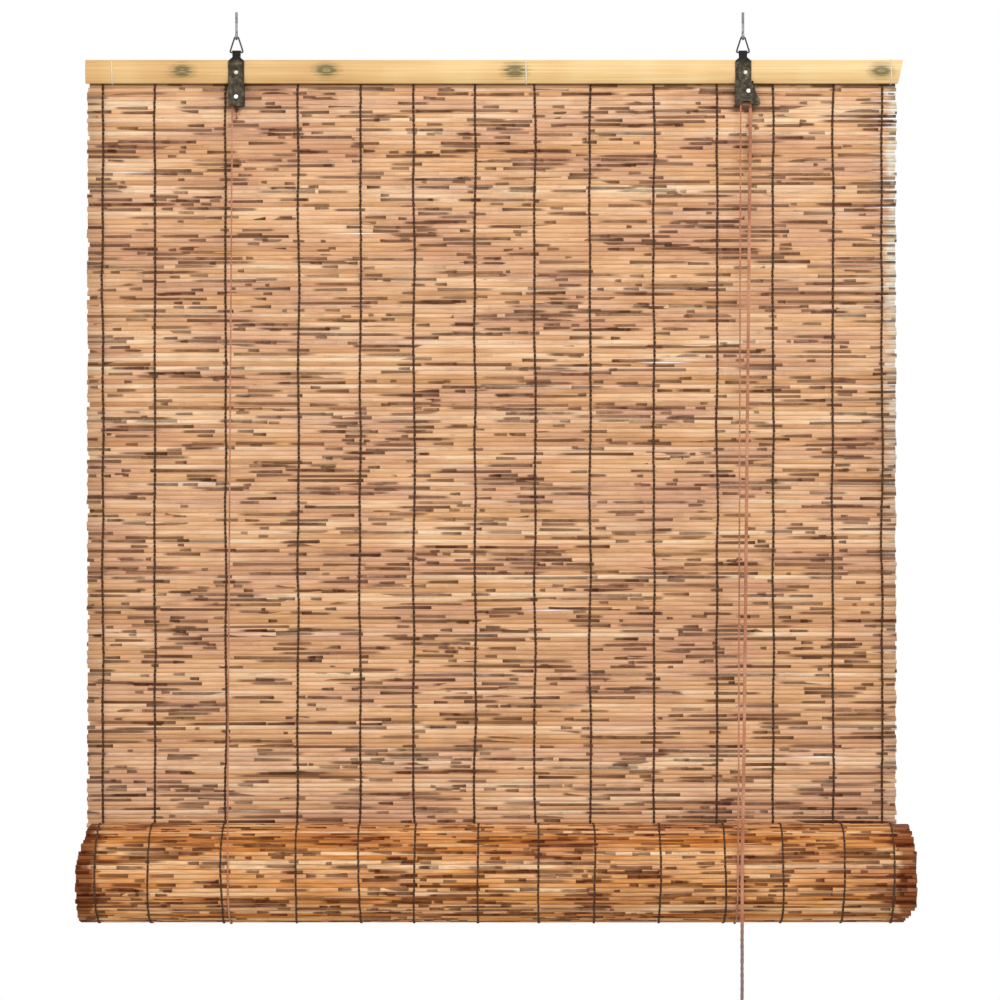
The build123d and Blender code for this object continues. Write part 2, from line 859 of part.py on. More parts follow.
def right_back_run():
    """Knotted in front of the bracket's back leg, it goes through leg and mat."""
    x = hook_x + right_tail_shift
    z = valley_z(right_tail_reed)
    points = [(x, back_leg_y - seat_gap - knot_length, z), (x, back_run_y, z)]
    return back_run(points, right_sling_x)


def knot(length, radius, bore):
    """A pulled-tight knot, round at both ends, along z from 0 upwards."""
    bead = Cylinder(radius, length, align=(Align.CENTER, Align.CENTER, Align.MIN))
    bead = fillet(bead.edges(), radius / 2)
    return bead - Cylinder(bore, length * 3) if bore else bead


def left_tail_knot():
    """The knot that shows under the left bracket."""
    y = (front_leg_y + back_leg_y) / 2
    z = batten_bottom_z - strap_tail - knot_drop - knot_length
    return Pos(-hook_x, y, z) * knot(knot_length, knot_radius, cord_radius + seat_gap)


def right_tail_knot():
    """The knot that holds the right tail against the back leg."""
    place = Plane(
        origin=(hook_x + right_tail_shift, back_leg_y - seat_gap, valley_z(right_tail_reed)),
        z_dir=(0, -1, 0),
    )
    return place * knot(knot_length, knot_radius, cord_radius + seat_gap)


# Pull cord

pull_top = Vector(lock_exit[0], (rear_wheel_y + front_wheel_y) / 2, lock_exit[1] - running_gap)
pull_turn = leaving_turn(pull_top.Y, pull_top.Z, pull_bend_radius)
pull_y = roll_y - pull_bend_radius
coil_top_z = roll_z - pull_hang
coil_z = coil_top_z - coil_tie_thick - seat_gap - coil_mean_radius - coil_radial / 2


def pull_cord_upper():
    """From the lock, straight to the front of the roll."""
    low = on_roll(pull_x, pull_bend_radius, pull_turn)
    gap = (low - pull_top).normalized() * running_gap
    return rod(tuple(pull_top), tuple(low - gap), pull_radius)


def pull_cord_lower():
    """Over the front of the roll and straight down to the coil."""
    stops = (pull_turn, (pull_turn + pi) / 2, pi)
    bend = ThreePointArc(*[on_roll(pull_x, pull_bend_radius, t) for t in stops])
    fall = Line(bend @ 1, (pull_x, pull_y, coil_top_z + running_gap))
    return tube(Wire([bend, fall]), pull_radius)


def pull_coil():
    """The outer shape of the coil of spare cord."""
    section = Rectangle(coil_radial, coil_deep)
    section = chamfer(section.vertices(), coil_chamfer)
    plane = Plane(origin=(pull_x + coil_mean_radius, pull_y, coil_z))
    return revolve(plane * section, Axis((pull_x, pull_y, coil_z), (0, 1, 0)))


def coil_tie():
    """The wrap that holds the coil together at its top."""
    half = coil_tie_width / 2
    coil_inside = coil_mean_radius - coil_radial / 2
    sag = coil_inside - sqrt(coil_inside**2 - half**2)
    deep = coil_deep + 2 * seat_gap
    high = coil_radial + 2 * seat_gap + sag
    wide = 2 * coil_tie_thick
    inner = Rectangle(deep, high)
    inner = chamfer(inner.vertices(), coil_chamfer / 2)
    outer = Rectangle(deep + wide, high + wide)
    outer = chamfer(outer.vertices(), coil_chamfer / 2 + coil_tie_thick)
    loop = Plane.YZ * Pos(pull_y, coil_z + coil_mean_radius - sag / 2) * (outer - inner)
    return along_x(loop, pull_x - half, pull_x + half)


def pull_knot():
    """The knot at the end of the pull cord, just under the coil."""
    top = coil_z - coil_mean_radius - coil_radial / 2 - running_gap
    return Pos(pull_x, pull_y, top - pull_knot_length) * knot(
        pull_knot_length, pull_knot_radius, 0
    )


os.makedirs("parts", exist_ok=True)

for side, side_x in (("left", -hook_x), ("right", hook_x)):
    write(f"screw_hook_{side}", screw_hook(side_x))
    write(f"hanging_ring_{side}", hanging_ring(side_x))
write("front_batten", front_batten())
write("back_batten", back_batten())
for place, share in zip(("left", "middle", "right"), tie_shares):
    write(f"batten_tie_{place}", batten_tie(share))
write("reed_mat", reed_mat())
write("mat_warp_threads", mat_warp_threads())
write("reed_roll", reed_roll())
write("roll_warp_threads", roll_warp_threads())
write("bottom_batten", bottom_batten())
write("pulley_bracket", pulley_bracket())
write("lock_bracket", lock_bracket())
write("pulley_wheel_left", pulley_wheel(-hook_x, rear_wheel_y))
write("pulley_wheel_rear", pulley_wheel(lock_axle_x, rear_wheel_y))
write("pulley_wheel_front", pulley_wheel(lock_axle_x, front_wheel_y))
write("pulley_axle_left", rivet(-hook_x, axle_z))
write("pulley_axle_right", rivet(lock_axle_x, axle_z))
write("spacer_rivet", rivet(-hook_x, spacer_z))
write("spacer_sleeve", spacer_sleeve())
write("lock_pivot", rivet(lock_pivot_x, lock_pivot_z))
write("lock_cam", lock_cam())
write("left_lift_cord", left_lift_cord())
write("right_lift_cord", right_lift_cord())
write("left_front_run", front_run(-hook_x, rear_wheel_y, left_sling_x))
write("right_front_run", front_run(lock_axle_x, front_wheel_y, right_sling_x))
write("left_sling", sling(rear_wheel_y, left_sling_x))
write("right_sling", sling(front_wheel_y, right_sling_x))
write("left_back_run", left_back_run())
write("right_back_run", right_back_run())
write("left_tail_knot", left_tail_knot())
write("right_tail_knot", right_tail_knot())
write("pull_cord_upper", pull_cord_upper())
write("pull_cord_lower", pull_cord_lower())
write("pull_coil", pull_coil())
write("coil_tie", coil_tie())
write("pull_knot", pull_knot())
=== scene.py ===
# %% [markdown]
# # A reed roll up blind
# The blind hangs from two ceiling hooks. Reeds are sewn side by side into a mat, the mat is
# clamped between two bamboo battens, and its lower half is rolled up in two cord slings.
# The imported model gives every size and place, so the script starts by loading it.

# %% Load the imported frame
import math
import random

import bmesh
import bpy
from mathutils import Matrix, Vector, noise


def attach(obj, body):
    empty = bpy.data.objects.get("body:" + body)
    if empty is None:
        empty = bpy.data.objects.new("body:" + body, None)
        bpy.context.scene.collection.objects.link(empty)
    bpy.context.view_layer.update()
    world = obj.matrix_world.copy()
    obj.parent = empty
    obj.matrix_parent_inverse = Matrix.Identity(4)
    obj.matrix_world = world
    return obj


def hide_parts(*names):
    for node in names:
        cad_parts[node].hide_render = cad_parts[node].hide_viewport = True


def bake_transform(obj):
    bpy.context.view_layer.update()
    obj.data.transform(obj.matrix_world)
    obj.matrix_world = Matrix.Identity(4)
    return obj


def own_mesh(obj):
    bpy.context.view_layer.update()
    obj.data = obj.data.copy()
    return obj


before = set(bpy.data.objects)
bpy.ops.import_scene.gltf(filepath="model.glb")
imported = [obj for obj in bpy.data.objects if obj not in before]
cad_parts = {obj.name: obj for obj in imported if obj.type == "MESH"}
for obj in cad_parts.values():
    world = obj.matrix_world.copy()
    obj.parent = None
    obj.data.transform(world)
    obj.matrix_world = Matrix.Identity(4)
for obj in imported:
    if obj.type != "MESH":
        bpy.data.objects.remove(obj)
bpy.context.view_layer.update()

# %% [markdown]
# ## Camera, light and stage
# The photo was taken level and from far off, so a long lens at the middle of the picture gives
# its flat look. Large soft lamps stand in for a light tent: no surface gets a hard shadow, and
# a colour comes out about as it is written. The white ground is only what the camera sees.

# %% Camera
scene = bpy.context.scene
scene.view_settings.view_transform = "Standard"
picture_wide = 1.2407
picture_x, picture_z = 0.0127, -0.5869
camera_far = 4.2
mat_plane = 0.0085
camera_data = bpy.data.cameras.new("camera")
camera_data.sensor_width = 36
camera_data.lens = camera_data.sensor_width * camera_far / picture_wide
camera = bpy.data.objects.new("camera", camera_data)
camera.location = (picture_x, mat_plane - camera_far, picture_z)
camera.rotation_euler = (math.radians(90), 0, 0)
scene.collection.objects.link(camera)
scene.camera = camera
print("lens", round(camera_data.lens, 1), "mm")


# %% Small tools for materials
def linear(hex_colour):
    """An sRGB hex value as the linear colour that a shader takes."""
    levels = [int(hex_colour[place:place + 2], 16) / 255 for place in (1, 3, 5)]
    light = [v / 12.92 if v <= 0.04045 else ((v + 0.055) / 1.055) ** 2.4 for v in levels]
    return (*light, 1)


def add_node(tree, kind, inputs=None, stops=None, **settings):
    """Adds a node with its settings, its colour stops, its values or links; gives its outputs."""
    node = tree.nodes.new(kind)
    for setting, value in settings.items():
        setattr(node, setting, value)
    for socket, value in (inputs or {}).items():
        if isinstance(value, bpy.types.NodeSocket):
            tree.links.new(value, node.inputs[socket])
        else:
            node.inputs[socket].default_value = value
    for place, (at, colour) in enumerate(stops or []):
        ramp = node.color_ramp.elements
        stop = ramp[place] if place < len(ramp) else ramp.new(at)
        stop.position = at
        stop.color = linear(colour)
    return node.outputs


def new_finish(name, roughness, metallic=0.0):
    """A material with its node tree and its main shader."""
    material = bpy.data.materials.new(name)
    material.use_nodes = True
    surface = material.node_tree.nodes["Principled BSDF"]
    surface.inputs["Roughness"].default_value = roughness
    surface.inputs["Metallic"].default_value = metallic
    return material, material.node_tree, surface


# %% World and lamps
world = bpy.data.worlds.new("light_tent")
scene.world = world
world.use_nodes = True
tent = world.node_tree
tent.nodes.clear()
rays = add_node(tent, "ShaderNodeLightPath")
seen = add_node(
    tent, "ShaderNodeMath", {0: rays["Is Camera Ray"], 1: rays["Is Glossy Ray"]},
    operation="MAXIMUM",
)
seen = add_node(
    tent, "ShaderNodeMath", {0: seen[0], 1: rays["Is Transmission Ray"]},
    operation="MAXIMUM",
)
soft_fill = add_node(tent, "ShaderNodeBackground", {"Color": (1, 1, 1, 1), "Strength": 0.5})
white_ground = add_node(tent, "ShaderNodeBackground", {"Color": (1, 1, 1, 1), "Strength": 1})
ground = add_node(
    tent, "ShaderNodeMixShader",
    {0: seen[0], 1: soft_fill[0], 2: white_ground[0]},
)
add_node(tent, "ShaderNodeOutputWorld", {"Surface": ground[0]})


def add_lamp(name, place, target, size, watts):
    """A square soft lamp that points at a target."""
    lamp = bpy.data.lights.new(name, "AREA")
    lamp.size = size
    lamp.energy = watts
    stand = bpy.data.objects.new(name, lamp)
    stand.location = place
    aim = Vector(target) - Vector(place)
    stand.rotation_euler = aim.to_track_quat("-Z", "Y").to_euler()
    scene.collection.objects.link(stand)


add_lamp("key_lamp", (1.0, -3.1, 1.9), (0, 0, -0.5), 1.6, 74)
add_lamp("fill_lamp", (-1.2, -3.2, -0.3), (0, 0, -0.6), 1.6, 20)
add_lamp("back_lamp", (0.6, 2.6, 0.8), (0, 0, -0.6), 1.8, 34)

# %% [markdown]
# The floor lies below the place that the end of the pull cord reaches when the roll is up.

# %% Floor
floor_half = 3.2
floor_z = -3.0
floor_mesh = bmesh.new()
bmesh.ops.create_grid(floor_mesh, x_segments=2, y_segments=2, size=floor_half)
bmesh.ops.translate(floor_mesh, verts=floor_mesh.verts, vec=(0, 0, floor_z))
floor_data = bpy.data.meshes.new("floor")
floor_mesh.to_mesh(floor_data)
floor_mesh.free()
floor = bpy.data.objects.new("floor", floor_data)
scene.collection.objects.link(floor)
paper, _, paper_surface = new_finish("pale_paper", 0.9)
paper_surface.inputs["Base Color"].default_value = linear("#f2f1ee")
floor_data.materials.append(paper)
print("floor at", floor_z, "m")

# %% [markdown]
# ## Cords
# The lift cords are thin and laid from two strands. Each is knotted under its bracket and goes
# down behind the mat, under the roll, up in front and over a wheel. A smooth curve gives the
# route, and the strands wind round the points that are read back from it, so the lay follows
# every bend.


# %% Small tools for pieces
def metres(*lengths):
    """Millimetres, as the part's source has them, in metres."""
    return Vector(length / 1000 for length in lengths)


def place_piece(name, mesh, finish, body, nodes=()):
    """A finished mesh becomes a piece that moves with a body and stands for its nodes."""
    piece = bpy.data.objects.new(name, mesh)
    scene.collection.objects.link(piece)
    mesh.materials.clear()
    mesh.materials.append(finish)
    if body:
        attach(piece, body)
    if nodes:
        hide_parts(*nodes)
    return piece


def read_curve(curve):
    """The mesh that a curve makes."""
    holder = bpy.data.objects.new(curve.name, curve)
    scene.collection.objects.link(holder)
    bpy.context.view_layer.update()
    mesh = bpy.data.meshes.new_from_object(holder)
    bpy.data.objects.remove(holder)
    return mesh


def smooth_route(name, points, steps):
    """Points read from a smooth curve whose control points are the route."""
    curve = bpy.data.curves.new(name, "CURVE")
    curve.dimensions = "3D"
    line = curve.splines.new("NURBS")
    line.points.add(len(points) - 1)
    for spot, point in zip(line.points, points):
        spot.co = (*point, 1)
    line.order_u = 3
    line.use_endpoint_u = True
    line.resolution_u = steps
    return [vert.co.copy() for vert in read_curve(curve).vertices]


def strand_mesh(name, lines, radius, sides, uneven=0.0):
    """Round strands along lists of points, as one mesh; uneven is the spread of thickness."""
    curve = bpy.data.curves.new(name, "CURVE")
    curve.dimensions = "3D"
    curve.bevel_depth = radius
    curve.bevel_resolution = sides
    curve.use_fill_caps = True
    for points in lines:
        line = curve.splines.new("POLY")
        line.points.add(len(points) - 1)
        for spot, point in zip(line.points, points):
            spot.co = (*point, 1)
            if uneven:
                spot.radius = 1 + random.uniform(-uneven, uneven)
    mesh = read_curve(curve)
    mesh.shade_smooth()
    return mesh


# %% [markdown]
# A cord is laid as a rope walk does it: the strands keep the same distance from the route and
# turn round it evenly, once in each length of lay.


# %% Laid cord
def lay_strands(route, radius, pitch, strands):
    """Strands that wind round a route, each with eight points in a turn."""
    lines = [[] for strand in range(strands)]
    side = (route[1] - route[0]).orthogonal().normalized()
    from_core = radius * 0.55
    run = 0.0
    marked = 0.0
    last = route[0]
    step = pitch / 8
    for place, point in enumerate(route):
        ahead = route[min(place + 1, len(route) - 1)] - route[max(place - 1, 0)]
        ahead.normalize()
        side = (side - ahead * side.dot(ahead)).normalized()
        run += (point - last).length
        last = point
        if lines[0] and run - marked < step and place < len(route) - 1:
            continue
        marked = run
        for strand, line in enumerate(lines):
            turn = 2 * math.pi * (run / pitch + strand / strands)
            line.append(point + Matrix.Rotation(turn, 3, ahead) @ side * from_core)
    return lines


def rope(name, points, steps, thick, pitch, body, nodes, strands=2):
    """A laid cord along a smooth route, with the points that it follows."""
    route = smooth_route(name, points, steps)
    lines = lay_strands(route, thick / 2, pitch, strands)
    strand_radius = thick * (0.32 - 0.01 * strands)
    mesh = strand_mesh(name, lines, strand_radius, 1)
    length = sum((b - a).length for a, b in zip(route, route[1:]))
    print(name, round(length, 3), "m long,", len(mesh.polygons), "faces")
    return place_piece(name, mesh, cord_finish, body, nodes), route, length


# %% [markdown]
# Dyed cotton cord, spun and laid: matt, dusty rose, with paler worn fibres on the crowns and a
# little grey dust. Fine noise along the strands gives the fibres. The free end below the roll is
# painted greyer as painted shade, and round the knot under the left bracket the colour is painted
# dark red, partly painted shade from the bracket and partly the knot's own darker tone.

# %% Cord finish
cord_finish, tree, surface = new_finish("dyed_cotton_cord", 0.92)
place = add_node(tree, "ShaderNodeTexCoord")["Object"]
dust_mm = 40
fibre_mm = 0.8
dust = add_node(tree, "ShaderNodeTexNoise", {"Vector": place, "Scale": 1000 / dust_mm, "Detail": 3})
fibre = add_node(
    tree, "ShaderNodeTexNoise", {"Vector": place, "Scale": 1000 / fibre_mm, "Detail": 2}
)
tone = add_node(tree, "ShaderNodeMix", {0: 0.4, 2: dust[0], 3: fibre[0]}, data_type="FLOAT")
rose = add_node(
    tree, "ShaderNodeValToRGB", {0: tone[0]},
    stops=[(0.3, "#9c5f44"), (0.5, "#c4805e"), (0.7, "#dca483")],
)
height = add_node(tree, "ShaderNodeSeparateXYZ", {0: place})[2]
# Painted shade: below the roll the cord hangs in shade, so its colour is painted greyer towards the
# end.
unshaded_z, shaded_z = -1.088, -1.12
lower_shade = add_node(tree, "ShaderNodeMapRange", {0: height, 1: unshaded_z, 2: shaded_z, 3: 0.0, 4: 0.85})
colour = add_node(
    tree, "ShaderNodeMix",
    {0: lower_shade[0], 6: rose[0], 7: linear("#85746f")}, data_type="RGBA",
)
# Painted dark red round the left tail knot: partly painted shade under the bracket, partly the
# knot's own darker tone.
dark_knot_centre = (-0.3135, -0.0007, -0.1036)
dark_knot_reach, dark_knot_end = 0.003, 0.005
away = add_node(
    tree, "ShaderNodeVectorMath", {0: place, 1: dark_knot_centre}, operation="DISTANCE"
)["Value"]
knot_shade_and_tone = add_node(
    tree, "ShaderNodeMapRange", {0: away, 1: dark_knot_reach, 2: dark_knot_end, 3: 0.9, 4: 0.0}
)[0]
colour = add_node(
    tree, "ShaderNodeMix", {0: knot_shade_and_tone, 6: colour[2], 7: linear("#3f1208")},
    data_type="RGBA",
)
tree.links.new(colour[2], surface.inputs["Base Color"])
fuzz = add_node(tree, "ShaderNodeBump", {"Height": fibre[0], "Distance": 0.0002})
tree.links.new(fuzz[0], surface.inputs["Normal"])
surface.inputs["Sheen Weight"].default_value = 0.2
print("finish", cord_finish.name)

# %% [markdown]
# The routes start from the places of the wheels, the lock and the roll. These are the part's
# own numbers, in millimetres; the cord's thickness and lay are in metres. From the top of a
# run to the roll a cord is taut, so its lower end is where its line touches the roll.

# %% Places of the cords
hook_x = 313.5
axle_z = -58.4
rear_y, front_y = 2.9, -0.8
pitch_radius = 5.3
run_top_z = -65.2
roll_y, roll_z = -48.7, -1043.0
sling_radius = 62.0
pull_radius = 62.9
sling_places = {"left": -315.6, "right": 299.5}
lock_axle_x = 316.1
near_top = 0.014
cord_thick = 0.0022
lay_pitch = 0.0085


def round_roll(x, radius, angle):
    """A point round the roll's axis, in metres: 0 degrees is behind it, 90 above it."""
    turn = math.radians(angle)
    return metres(x, roll_y + radius * math.cos(turn), roll_z + radius * math.sin(turn))


def touch_angle(y, z, radius):
    """Where a taut cord from (y, z) touches the front of a circle round the roll."""
    far = math.hypot(y - roll_y, z - roll_z)
    return math.degrees(math.atan2(z - roll_z, y - roll_y) + math.acos(radius / far))


def shorten(piece):
    """Gives the piece its own copy of its mesh."""
    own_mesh(piece)


def run_points(top, low, bow):
    """Points of a run from a wheel to the roll; bow lists shares of the way down with their y."""
    points = [top, top.lerp(low, near_top)]
    for share, y in bow:
        spot = top.lerp(low, share)
        spot.y = y / 1000
        points.append(spot)
    return [*points, low]


# %% [markdown]
# Just above the roll the front runs are bowed out by a few millimetres, too little to see. When
# the roll is up the runs are short and steep, and without the bow they would cut into it.

# %% Front runs and slings
front_bow = [(0.819, -97), (0.942, -110)]
for side, wheel_x, wheel_y in (("left", -hook_x, rear_y), ("right", lock_axle_x, front_y)):
    sling_x = sling_places[side]
    touch = touch_angle(wheel_y, run_top_z, sling_radius)
    top = metres(wheel_x - pitch_radius, wheel_y, run_top_z)
    low = round_roll(sling_x, sling_radius, touch)
    points = run_points(top, low, front_bow)
    piece = rope(
        f"{side}_front_rope", points, 250, cord_thick, lay_pitch, "head", [f"{side}_front_run"]
    )[0]
    shorten(piece)
    turns = [touch, 190, 210, 230, 250, 270, 290, 310, 330, 350, 360]
    arc = [round_roll(sling_x, sling_radius + 0.5, angle) for angle in turns]
    rope(f"{side}_sling_rope", arc, 24, cord_thick, lay_pitch, "slings", [f"{side}_sling"])

# %% [markdown]
# The tail of each lift cord is knotted under its bracket and passes through a slot between two
# reeds. Behind the mat it falls straight to its sling, so each run is two pieces: a tail, and a
# straight run from it down to the sling.

# %% Back runs and their tails
back_y = roll_y + sling_radius
left_tail = [
    (-hook_x, -0.65, -91.6), (-hook_x, -0.65, -100), (-hook_x, -0.65, -108.5),
    (-hook_x, -0.4, -112.5), (-hook_x, 3, -113.5), (-hook_x, 8, -113.5), (-hook_x, 12.6, -114),
    (-hook_x, back_y, -117.5), (-hook_x, back_y, -128),
]
right_tail = [
    (306.5, -0.3, -91.5), (306.5, 3, -91.5), (306.5, 8, -91.5), (306.5, 12.6, -92),
    (306.5, back_y, -95.6), (306.4, back_y, -106),
]
for side, tail in (("left", left_tail), ("right", right_tail)):
    rope(
        f"{side}_tail_rope", [metres(*point) for point in tail], 24, cord_thick, lay_pitch,
        "head", [f"{side}_back_run"],
    )
    top = metres(*tail[-1])
    low = metres(sling_places[side], back_y, roll_z)
    piece = rope(
        f"{side}_back_rope", [top, top.lerp(low, near_top), low], 500, cord_thick, lay_pitch,
        "head", [f"{side}_back_run"],
    )[0]
    shorten(piece)

# %% [markdown]
# The left cord runs over its wheel, along the hollow back of the front batten and over the rear
# wheel of the lock. The right cord goes over the front wheel only. Both then pass the cam. Four
# short lists of points, joined as each cord needs them, give both routes.

# %% Runs in the head, over the wheels and through the lock
over = pitch_radius + 0.6
wrap_left = [
    (-hook_x - pitch_radius, run_top_z), (-hook_x - pitch_radius, axle_z),
    (-hook_x - over, axle_z + 2.6), (-hook_x - 2.6, axle_z + over), (-hook_x + 1.5, axle_z + 5.4),
    (-hook_x + 14, axle_z + 5.3),
]
wrap_over = [
    (lock_axle_x - pitch_radius, run_top_z), (lock_axle_x - pitch_radius, axle_z),
    (lock_axle_x - over, axle_z + 2.6), (lock_axle_x - 2.6, axle_z + over),
]
wrap_right = [
    (lock_axle_x + 2.6, axle_z + over), (lock_axle_x + over, axle_z + 2.6),
    (lock_axle_x + 5.6, axle_z - 1), (325.4, -78.4), (325.4, -84), (323.0, -100.8),
]
across = [(lock_axle_x - 14, axle_z + 5.3), (lock_axle_x - 1.5, axle_z + 5.4)]
for name, y, flat in (
    ("left_lift_rope", rear_y, wrap_left + across + wrap_right),
    ("right_lift_rope", front_y, wrap_over + wrap_right),
):
    route = [metres(x, y, z) for x, z in flat]
    rope(name, route, 60, cord_thick, lay_pitch, "head", [name.replace("rope", "cord")])

# %% [markdown]
# The pull cord is both lift cords laid together, four strands in all. Below the photo's edge
# it goes on, so the unseen length is wound into a small tied coil with a knot at its end, as
# for storage.

# %% Pull cord
pull_thick = 0.004
pull_lay = 0.034
pull_x = 304.5
pull_y = roll_y - pull_radius
pull_top = (323.0, 1.05, -101.4)
coil_z = -1230.3
pull_touch = touch_angle(pull_top[1], pull_top[2], pull_radius)
top = metres(*pull_top)
low = round_roll(pull_x, pull_radius, pull_touch)
pull_bow = [(0.834, -103.5), (0.941, -110)]
points = run_points(top, low, pull_bow)
pull_upper, pull_path, upper_length = rope(
    "pull_rope_upper", points, 200, pull_thick, pull_lay, "head", ["pull_cord_upper"], 4
)
shorten(pull_upper)


def coil_point(radius, angle, y):
    """A point of the coil in metres; 90 degrees is its top."""
    turn = math.radians(angle)
    return metres(pull_x + radius * math.cos(turn), pull_y + y, coil_z + radius * math.sin(turn))


fall = [low, round_roll(pull_x, pull_radius, 182)]
fall += [metres(pull_x, pull_y, z) for z in (-1062, -1124, -1174, -1186)]
fall += [metres(pull_x - 0.3, pull_y, -1193), metres(pull_x - 3.5, pull_y, -1197.6)]
lead_in = [(31.6, 108, -1), (30.6, 126, -2.5), (29.6, 146, -4.5), (28.6, 164, -6)]
turns = [coil_point(*spot) for spot in lead_in]
per_turn = 14
layer_spots = 4 * per_turn
widen = 1 / math.cos(math.pi / per_turn)
angle = 164
for radius, step_in, from_y, to_y in (
    (27.2, 1.0, -6.1, 6.1), (23.1, 4.1, 6.1, -6.1), (19.0, 4.1, -6.1, 6.1)
):
    for spot in range(layer_spots):
        angle += 360 / per_turn
        share = (spot + 1) / layer_spots
        ease = min(1, spot / per_turn)
        radius_now = radius + step_in * (1 - ease)
        y = from_y + (to_y - from_y) * share
        turns.append(coil_point(radius_now * widen, angle, y))
end_out = [(19.6, angle + 26, 8.6), (21.5, angle + 52, 10.4), (26, angle + 76, 10.6)]
turns += [coil_point(*spot) for spot in end_out]
turns += [metres(pull_x - 2, pull_y + 9, coil_z - 29), metres(pull_x, pull_y + 2, coil_z - 32.5)]
pull_lower, pull_path, lower_length = rope(
    "pull_rope_lower", fall + turns, 12, pull_thick, pull_lay, None,
    ["pull_cord_lower", "pull_coil"], 4,
)
print("pull cord", round(upper_length + lower_length, 3), "m in all")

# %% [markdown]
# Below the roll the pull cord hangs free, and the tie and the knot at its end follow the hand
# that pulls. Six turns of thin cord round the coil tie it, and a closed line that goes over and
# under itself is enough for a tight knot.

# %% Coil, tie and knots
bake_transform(pull_lower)

coil_mean = 23
wrap_turns = 6
wrap_steps = 12
wraps = []
for step in range(wrap_steps * wrap_turns + 1):
    turn = 2 * math.pi * step / wrap_steps
    y = max(-9.4, min(9.4, 13 * math.cos(turn)))
    z = max(-7.4, min(9.9, 12 * math.sin(turn)))
    x = pull_x - wrap_turns / 2 + step / wrap_steps
    wraps.append(metres(x, pull_y + y, coil_z + coil_mean + z))
coil_wrap = place_piece(
    "coil_wrap", strand_mesh("coil_wrap", [wraps], 0.0006, 1), cord_finish, "pull",
    ["coil_tie"],
)


def knot_line(centre, wide, deep):
    """A closed line that goes over and under itself three times, as a tight knot does."""
    line = []
    steps = 48
    for step in range(steps + 1):
        turn = 2 * math.pi * step / steps
        out = wide * (2 + math.cos(3 * turn)) / 3
        spot = (out * math.cos(2 * turn), out * math.sin(2 * turn), deep * math.sin(3 * turn))
        line.append(metres(*(c + s for c, s in zip(centre, spot))))
    return line


for name, node, body, centre, wide, deep, thick in (
    ("pull_end_knot", "pull_knot", "pull", (pull_x, pull_y, coil_z - 33.8), 3.0, 2.6, 0.0013),
    ("left_end_knot", "left_tail_knot", "head", (-hook_x, -0.65, -103.6), 1.9, 1.6, 0.0009),
    ("right_end_knot", "right_tail_knot", "head", (306.5, 2.1, -91.5), 1.9, 1.6, 0.0009),
):
    knot = strand_mesh(name, [knot_line(centre, wide, deep)], thick, 1)
    place_piece(name, knot, cord_finish, body, [node])

# %% [markdown]
# ## Reeds
# Each reed is a thin dried stalk, a little bent, thicker at one end and cut off roughly. One
# stalk is a long cone, cut into lengths and bent by smooth noise, so that neighbours bend
# alike and lie close. Two values go along with it: a number of its own for its colour, and
# how far each point lies across it, so that dark streaks can run along one side of a stalk.

# %% One reed
reed_radius = 3.05
flat_power = 0.78
depth_loss = 0.17
slit_half = 0.03


def start_reeds():
    """An empty mesh that remembers each reed's own number and the place across it."""
    reeds = bmesh.new()
    number = reeds.verts.layers.float.new("reed_seed")
    side = reeds.verts.layers.float.new("reed_across")
    return reeds, number, side


def flatten(part, whole):
    """A round section's coordinate, pushed out so that neighbours lie flat on each other."""
    return math.copysign(whole * abs(part / whole) ** flat_power, part)


def lay_reed(made, left, right, place, tilt, run, sides, cuts, slits=()):
    """A stalk along x through place (y, z); tilt turns its outer side, run tells its bend."""
    reeds, number, side = made
    first = len(reeds.verts)
    seed = random.random()
    thin = random.uniform(0.93, 0.99)
    ends = (1, thin) if random.random() > 0.5 else (thin, 1)
    turned = Matrix.Rotation(tilt, 4, "X") @ Matrix.Rotation(math.pi / 2, 4, "Y")
    stalk = bmesh.ops.create_cone(
        reeds, cap_ends=True, segments=sides, radius1=reed_radius * ends[0] / 1000,
        radius2=reed_radius * ends[1] / 1000, depth=(right - left) / 1000,
        matrix=Matrix.Translation(metres((left + right) / 2, *place)) @ turned,
    )
    if cuts:
        edges = dict.fromkeys(edge for vert in stalk["verts"] for edge in vert.link_edges)
        along = [edge for edge in edges if edge.calc_length() > (right - left) / 2000]
        bmesh.ops.subdivide_edges(reeds, edges=along, cuts=cuts)
    reeds.verts.ensure_lookup_table()
    up = Vector((0, -math.sin(tilt), math.cos(tilt)))
    out = Vector((0, math.cos(tilt), math.sin(tilt)))
    core = metres(0, *place)
    for vert in reeds.verts[first:]:
        x = vert.co.x
        height = (vert.co - core).dot(up)
        depth = (vert.co - core).dot(out)
        whole = math.hypot(height, depth)
        vert.co += up * (flatten(height, whole) - height) + out * (flatten(depth, whole) - depth)
        height = flatten(height, whole)
        vert[number] = seed
        vert[side] = height * 1000 / reed_radius
        swell = 0.05 * noise.noise((x * 14, seed * 71, 3))
        bend = 0.001 * noise.noise((x * 4, run * 0.018, 0))
        bend += 0.00016 * noise.noise((x * 9, seed * 53, 7))
        sway = 0.0003 * noise.noise((x * 6, seed * 67, 9))
        vert.co += up * (height * swell + bend) + out * (sway - depth * depth_loss)
        for slit_x, rise in slits:
            vert.co += up * rise * math.exp(-((x - slit_x) / slit_half) ** 2)
    return reeds.verts[first:]


def finish_reeds(name, made, finish, body, nodes):
    """Round sides are smooth, cut ends flat."""
    reeds = made[0]
    for face in reeds.faces:
        face.smooth = len(face.verts) == 4
    mesh = bpy.data.meshes.new(name)
    reeds.to_mesh(mesh)
    reeds.free()
    print(name, len(mesh.polygons), "faces")
    return place_piece(name, mesh, finish, body, nodes)


# %% [markdown]
# What is left of the leaf sheaths gives dark streaks that taper away from a blunt end. The
# length of a stalk is divided into cells, and dice thrown with its own number say which cell
# has a streak, where it starts, which way it points and on which side of the stalk it lies.


